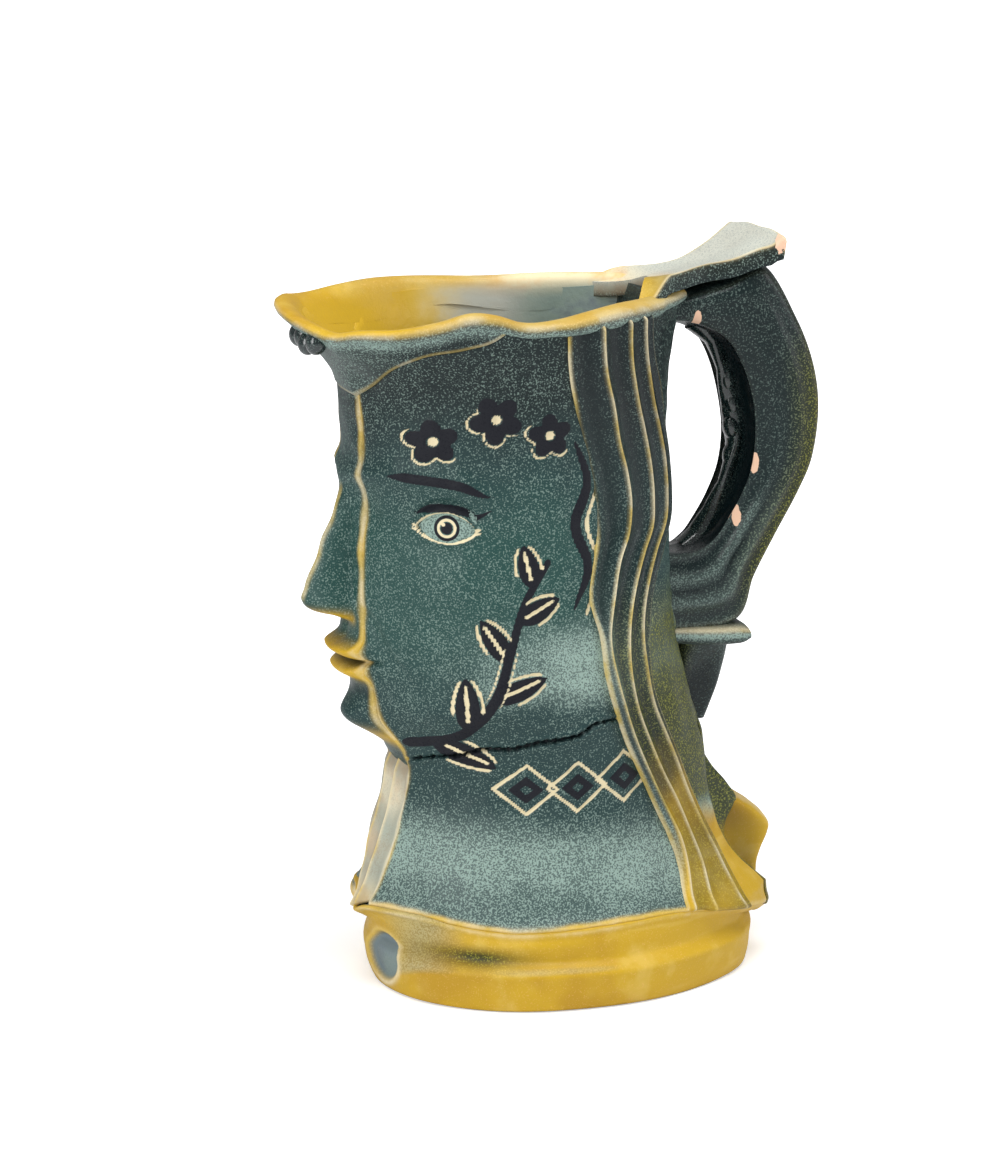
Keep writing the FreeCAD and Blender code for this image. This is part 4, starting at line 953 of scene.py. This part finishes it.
def glazeMaterial(name, charcoal, gloss, shine, coat):
    # charcoal is the share of dark in the body colour
    material = bpy.data.materials.new(name)
    material.use_nodes = True
    g, c, band = Graph(material.node_tree), glazeColours, bandHeight
    place = g.add("ShaderNodeTexCoord", {}, {}, "Object")
    axes = g.add("ShaderNodeSeparateXYZ", {}, {0: place}).socket.node
    x, z = Value(g, axes.outputs[0]) * 1000.0, Value(g, axes.outputs[2]) * 1000.0
    broad, patch = g.noise(place, noiseScale["broad"]), g.noise(place, noiseScale["patch"], 4.0)
    fine, grain = g.noise(place, noiseScale["fine"], 1.0, 0.5), g.noise(place, noiseScale["grain"], 2.0, 0.6)
    # body colour: charcoal above, teal below, greener on the cheek
    level = z + (broad - 0.5) * 40.0
    body = g.mix(level.span(*band["dark"]), c["teal"], c["navy"])
    forward = (x + (patch - 0.5) * 40.0).span(12.0, -24.0)
    green = level.span(*band["greenLow"]) * level.span(*band["greenHigh"]) * forward
    body = g.mix(green * 0.9, body, c["green"])
    body = g.mix(charcoal, body, c["navy"])
    # pale crystals in the glaze: scattered in the dark, crowded in the misty bands, which are partly painted reflection
    tide = z + (patch - 0.5) * 10.0 + x * 0.05
    low = tide.span(*band["lowMistAndReflection"]) * (0.50 + 0.50 * tide.span(*band["lowFade"]))
    aftward = (x + (broad - 0.5) * 60.0).span(-62.0, -20.0)
    high = tide.span(*band["highFrom"]) * tide.span(*band["highTo"]) * aftward
    mist = ((low * 0.80 + high) * (1.0 - charcoal) + g.mark("mist")).clamp()
    bare = level.span(*band["bareTop"]) * 0.02 + z.span(*band["bareFrom"]) * z.span(*band["bareTo"]) * 0.03
    crowd = (patch - 0.5) * 0.16 + (broad - 0.5) * 0.10 + mist * 0.14 - bare
    # hollows: pooled glaze, glossier and free of crystals, darkened further by painted shade in recesses, creases,
    # holes and under parts
    poolAndShade = g.mark("poolAndShade")
    crystals = (((fine + crowd - 0.60) * 8.0 + 0.5) * (1.0 - poolAndShade)).clamp()
    body = g.mix(crystals * (0.42 + 0.38 * mist - 0.20 * charcoal), g.mix(mist * 0.45, body, c["mist"]), c["speck"])
    # ochre, with amber pools, straw where thin and misty streaks
    flow = g.noise(g.add("ShaderNodeMapping", {}, {"Vector": place, "Scale": (16.0, 16.0, 120.0)}), 1.0)
    ochre = g.mix(patch.span(0.50, 0.72) * 0.40, c["ochre"], c["straw"])
    ochre = g.mix(broad.span(0.50, 0.34) * 0.55, ochre, c["amber"])
    ochre = g.mix(fine.span(0.58, 0.70) * 0.22, ochre, c["peach"])
    ochre = g.mix(flow.span(0.58, 0.74) * 0.40, ochre, c["straw"])
    olive = g.mix(fine.span(0.52, 0.66) * 0.55, c["olive"], c["moss"])
    pale = g.mix(patch.span(0.40, 0.62), c["peach"], c["cream"])
    grey, oliveMark, paleMark, ochreMark = (g.mark(key) for key in ("grey", "olive", "pale", "ochre"))
    pale = g.mix(grey, pale, g.mix(fine.span(0.52, 0.62) * 0.45, c["bone"], c["grey"]))
    colour = g.mix((oliveMark * (0.5 + patch) + (fine - 0.5) * 0.9 * oliveMark).clamp() * 0.92, body, olive)
    colour = g.mix((paleMark + (patch - 0.5) * 0.5 * paleMark).clamp(), colour, pale)
    ragged = ((patch - 0.5) * 0.8 + (fine - 0.5) * 0.8) * ochreMark * (1.2 - ochreMark)
    colour = g.mix((ochreMark * 1.3 + ragged).clamp(), colour, ochre)
    colour = g.mix((oliveMark * ochreMark).clamp() * 0.95, colour, olive)
    colour = g.mix((grey * (1.0 - paleMark)).clamp(), colour, g.mix(patch.span(0.4, 0.6) * 0.5, c["grey"], c["mist"]))
    # inside: ochre in the spout, through straw and pale green to grey down the throat, then darkened to olive by
    # painted shade deeper in
    turn = x + (patch - 0.5) * 26.0
    lining = g.mix(turn.span(-44.0, -16.0), c["straw"], c["bone"])
    lining = g.mix(turn.span(-16.0, 12.0), lining, g.mix(patch.span(0.42, 0.58), c["grey"], c["mist"]))
    lining = g.mix(turn.span(-26.0, -52.0), lining, c["ochre"])
    # painted shade: the lining darkens to olive deeper down the throat
    throatShade = (z + (patch - 0.5) * 14.0).span(*band["throat"]) * turn.span(-50.0, -24.0)
    lining = g.mix(throatShade, lining, c["olive"])
    inside = g.mark("inside")
    colour = g.mix(inside, colour, lining)
    # painted shade and pooled glaze: the marked hollows go dark
    colour = g.mix((poolAndShade * 0.7).clamp(), colour, c["deep"])
    # the glaze breaks thin and pale over edges
    edgeMark = g.mark("edge")
    breaking = (edgeMark * (0.45 + patch) + (fine - 0.5) * 0.7 * edgeMark).clamp()
    colour = g.mix(breaking * 0.85, colour, g.mix(patch.span(0.42, 0.58), c["straw"], c["cream"]))
    cut = (g.mark("cut") * 1.25 - (fine - 0.5) * 0.7 - 0.12).span(0.2, 0.7)
    ink = (g.mark("ink") * 1.3 + (patch - 0.5) * 0.4 + (fine - 0.5) * 0.4 - 0.12).span(0.30, 0.70)
    colour = g.mix(ink * (1.0 - cut), colour, c["ink"])
    colour = g.mix(cut, colour, c["cream"])
    colour = g.mix(g.mark("crack"), colour, c["deep"])
    chip = (g.mark("chip") + (grain - 0.5) * 0.9).span(0.42, 0.5)
    colour = g.mix(chip, colour, c["clay"])
    dull = 0.20 * patch + 0.18 * crystals + 0.30 * chip + 0.15 * ink
    rough = (gloss + dull - 0.16 * poolAndShade - 0.12 * inside).clamp()
    height = fine * 0.3 + grain * 0.6 + g.noise(place, noiseScale["dents"]) * 1.2
    bumped = g.add("ShaderNodeBump", {}, {"Strength": 0.5, "Distance": 0.0004, "Height": height}, "Normal")
    shader = g.add("ShaderNodeBsdfPrincipled", {}, {
        "Base Color": colour, "Roughness": rough, "Normal": bumped, "IOR": 1.5,
        "Specular IOR Level": shine, "Coat Weight": coat, "Coat Roughness": 0.08})
    g.add("ShaderNodeOutputMaterial", {}, {0: shader})
    return material


wallGlaze = glazeMaterial("wallGlaze", 0.0, 0.34, 0.28, 0.0)
hairGlaze = glazeMaterial("hairGlaze", 0.6, 0.30, 0.28, 0.0)
handleGlaze = glazeMaterial("handleGlaze", 0.9, 0.24, 0.28, 0.0)
drippedGlaze = glazeMaterial("drippedGlaze", 1.0, 0.08, 0.5, 0.6)
print("glazes made")


pieces = [cheek("leftCheek", ["left_wall"], 0), cheek("rightCheek", ["right_wall"], 1), faceFront(), neckFront(),
          napeStrip()]
print("head and neck made")
pieces += [spoutCollar(), rimBand(), hairSlab("leftHair", ["left_hair"], 0), hairSlab("rightHair", ["right_hair"], 1),
           eyeball("leftEye", ["left_eye"], 0), eyeball("rightEye", ["right_eye"], 1), footBand(), floorDisc()]
print("rim, hair, eyes and foot made")
pieces += [handleStrap(), thumbRest(), handleRoll(), handleFin(), tailSpur()]
print("handle, thumb rest and spur made")
glazeOf = dict(leftHair=hairGlaze, rightHair=hairGlaze, handleStrap=handleGlaze, handleRoll=handleGlaze,
               handleFin=handleGlaze)
for piece in pieces:
    piece.data.materials.append(glazeOf.get(piece.name, wallGlaze))


# Grown pieces: the twisted ridge inside the handle and the drips under the spout.
def grown(name, line, build, settings, nodes):
    # A line of points run through a geometry tree; its named settings are set on the modifier.
    mesh = bpy.data.meshes.new(name + "Line")
    mesh.from_pydata((np.asarray(line) * mm).tolist(), [(k, k + 1) for k in range(len(line) - 1)], [])
    seed = bpy.data.objects.new(name + "Line", mesh)
    bpy.context.scene.collection.objects.link(seed)
    tree = bpy.data.node_groups.new(name + "Tree", "GeometryNodeTree")
    tree.interface.new_socket("Geometry", in_out="INPUT", socket_type="NodeSocketGeometry")
    tree.interface.new_socket("Geometry", in_out="OUTPUT", socket_type="NodeSocketGeometry")
    sockets = {}
    for key, value in settings.items():
        kind = {int: "NodeSocketInt", float: "NodeSocketFloat"}.get(type(value), "NodeSocketMaterial")
        sockets[key] = tree.interface.new_socket(key, in_out="INPUT", socket_type=kind)
    g = Graph(tree)
    start = g.add("NodeGroupInput", {}, {}).socket.node
    given = {key: Value(g, start.outputs[key]) for key in ["Geometry", *settings]}
    made = g.add("GeometryNodeRealizeInstances", {}, {0: build(g, given)})
    made = g.add("GeometryNodeSetMaterial", {}, {"Geometry": made, "Material": given["Glaze"]})
    g.add("NodeGroupOutput", {}, {0: made})
    modifier = seed.modifiers.new(name, "NODES")
    modifier.node_group = tree
    for key, value in settings.items():
        modifier[sockets[key].identifier] = value
    shape = bpy.data.meshes.new_from_object(seed.evaluated_get(bpy.context.evaluated_depsgraph_get()))
    seed.modifiers.remove(modifier)
    bpy.data.objects.remove(seed)
    shape.name = name
    shape.shade_smooth()
    return placed(bpy.data.objects.new(name, shape), nodes)


def randomSize(g, given):
    return g.add("FunctionNodeRandomValue", dict(data_type="FLOAT"), {2: 0.8, 3: 1.1, "Seed": given["Seed"]}, 1)


def ridgeTree(g, given):
    line = g.add("GeometryNodeMeshToCurve", {}, {0: given["Geometry"]})
    line = g.add("GeometryNodeResampleCurve", {}, {"Curve": line, "Count": 90})
    share = g.add("GeometryNodeSplineParameter", {}, {}, "Factor")
    line = g.add("GeometryNodeSetCurveTilt", {}, {"Curve": line, "Tilt": share * given["Twist"]})
    circle = g.add("GeometryNodeCurvePrimitiveCircle", {}, {"Resolution": 20, "Radius": given["Half Width"]})
    flat = g.add("GeometryNodeTransform", {}, {"Geometry": circle, "Scale": (1.25, 0.8, 1.0)})
    rope = g.add("GeometryNodeCurveToMesh", {}, {"Curve": line, "Profile Curve": flat, "Fill Caps": True})
    middle = g.add("GeometryNodeTrimCurve", {}, {"Curve": line, 2: 0.42, 3: 0.72})
    spots = g.add("GeometryNodeResampleCurve", {}, {"Curve": middle, "Count": given["Knots"]})
    bead = g.add("GeometryNodeMeshIcoSphere", {}, {"Radius": given["Knot Size"], "Subdivisions": 4})
    bead = g.add("GeometryNodeTransform", {}, {"Geometry": bead, "Scale": (0.95, 1.05, 1.5)})
    turn = g.add("FunctionNodeRandomValue", dict(data_type="FLOAT_VECTOR"),
                 {0: (-0.5, -0.5, -0.7), 1: (0.5, 0.5, 0.7), "Seed": given["Seed"]})
    size = randomSize(g, given)
    beads = g.add("GeometryNodeInstanceOnPoints", {},
                  {"Points": spots, "Instance": bead, "Rotation": turn, "Scale": size})
    return joined(g, rope, beads)


def joined(g, *parts):
    join = g.nodes.new("GeometryNodeJoinGeometry")
    for part in parts:
        g.links.new(part.socket, join.inputs[0])
    return Value(g, join.outputs[0])


def dripTree(g, given):
    bead = g.add("GeometryNodeMeshUVSphere", {}, {"Segments": 32, "Rings": 20, "Radius": given["Drip Size"]})
    bead = g.add("GeometryNodeTransform", {}, {"Geometry": bead, "Scale": (1.0, 0.95, 1.15)})
    size = randomSize(g, given)
    return g.add("GeometryNodeInstanceOnPoints", {}, {"Points": given["Geometry"], "Instance": bead, "Scale": size})


ridgeLine = [(48, 0, 158.5), (54, 0, 162.5), (60.5, 0, 170), (66, 0, 181), (69, 0, 197), (68, 0, 213), (65, 0, 227),
             (59.5, 0, 238), (52, 0, 245)]
dripLine = [(-102.0, -15.0, 253.0), (-103.2, -9.0, 251.5), (-102.6, -3.5, 253.0), (-102.0, 4.0, 252.0)]
grown("handleRidge", ridgeLine, ridgeTree,
      {"Half Width": 0.0033, "Twist": 7.0, "Knots": 4, "Knot Size": 0.0036, "Seed": 5, "Glaze": drippedGlaze},
      ["handle_ridge"])
grown("spoutDrips", dripLine, dripTree, {"Drip Size": 0.0038, "Seed": 3, "Glaze": drippedGlaze},
      ["spout_drips"])
print("ridge and drips grown")



# Floor, light and camera.
def shaderOf(owner):
    owner.use_nodes = True
    return Graph(owner.node_tree)


studio = dict(floorHalf=9, paper=(0.86, 0.86, 0.87), glow=0.42, farGlow=0.6, glowFrom=0.16, glowTo=0.7, world=0.34,
              lamps=[("topBox", (0.0, -0.25, 1.45), (1.0, 0.8), 16), ("leftBox", (-1.35, -0.9, 0.75), (0.6, 1.2), 15),
                     ("rightBox", (1.25, -0.8, 0.6), (0.35, 1.1), 6)])
half = studio["floorHalf"]
floor = bpy.data.objects.new("floor", bpy.data.meshes.new("floor"))
floor.data.from_pydata([(-half, -half, 0), (half, -half, 0), (half, half, 0), (-half, half, 0)], [], [(0, 1, 2, 3)])
bpy.context.scene.collection.objects.link(floor)
paper = bpy.data.materials.new("paper")
g = shaderOf(paper)
# To the camera the paper glows a little, more so further out, and keeps the jug's shadow.
place = g.add("ShaderNodeTexCoord", {}, {}, "Object")
far = g.add("ShaderNodeVectorMath", dict(operation="LENGTH"), {0: place}, "Value")
seen = g.add("ShaderNodeLightPath", {}, {}, "Is Camera Ray")
strength = seen * (studio["glow"] + studio["farGlow"] * far.span(studio["glowFrom"], studio["glowTo"]))
glow = g.add("ShaderNodeEmission", {}, {"Color": (1.0, 1.0, 1.0), "Strength": strength})
matt = g.add("ShaderNodeBsdfDiffuse", {}, {"Color": studio["paper"]})
g.add("ShaderNodeOutputMaterial", {}, {0: g.add("ShaderNodeAddShader", {}, {0: matt, 1: glow})})
floor.data.materials.append(paper)

world = bpy.data.worlds.new("studio")
bpy.context.scene.world = world
g = shaderOf(world)
light = g.add("ShaderNodeLightPath", {}, {}).socket.node
seen = (Value(g, light.outputs["Is Camera Ray"]) + Value(g, light.outputs["Is Transmission Ray"])).clamp()
soft = g.add("ShaderNodeBackground", {}, {"Color": (1.0, 1.0, 1.0), "Strength": studio["world"]})
white = g.add("ShaderNodeBackground", {}, {"Color": (1.0, 1.0, 1.0), "Strength": 1.0})
g.add("ShaderNodeOutputWorld", {}, {0: g.add("ShaderNodeMixShader", {}, {0: seen, 1: soft, 2: white})})


def softbox(name, place, size, power, aim=(0, 0, 0.14)):
    lamp = bpy.data.lights.new(name, "AREA")
    lamp.shape, lamp.size, lamp.size_y, lamp.energy = "RECTANGLE", size[0], size[1], power
    holder = bpy.data.objects.new(name, lamp)
    holder.location = place
    holder.rotation_euler = (Vector(aim) - Vector(place)).to_track_quat("-Z", "Y").to_euler()
    bpy.context.scene.collection.objects.link(holder)


for lamp in studio["lamps"]:
    softbox(*lamp)

view = dict(azimuth=-20, elevation=15.4, distance=2.58, target=(-0.022, 0.008, 0.150), focal=213, sensor=36)
camera = bpy.data.objects.new("camera", bpy.data.cameras.new("camera"))
azimuth, elevation = math.radians(view["azimuth"]), math.radians(view["elevation"])
target = Vector(view["target"])
away = Vector((math.sin(azimuth) * math.cos(elevation), -math.cos(azimuth) * math.cos(elevation), math.sin(elevation)))
camera.location = target + away * view["distance"]
camera.rotation_euler = (-away).to_track_quat("-Z", "Y").to_euler()
camera.data.lens, camera.data.sensor_width = view["focal"], view["sensor"]
bpy.context.scene.collection.objects.link(camera)
bpy.context.scene.camera = camera
bpy.context.scene.view_settings.view_transform = "Standard"
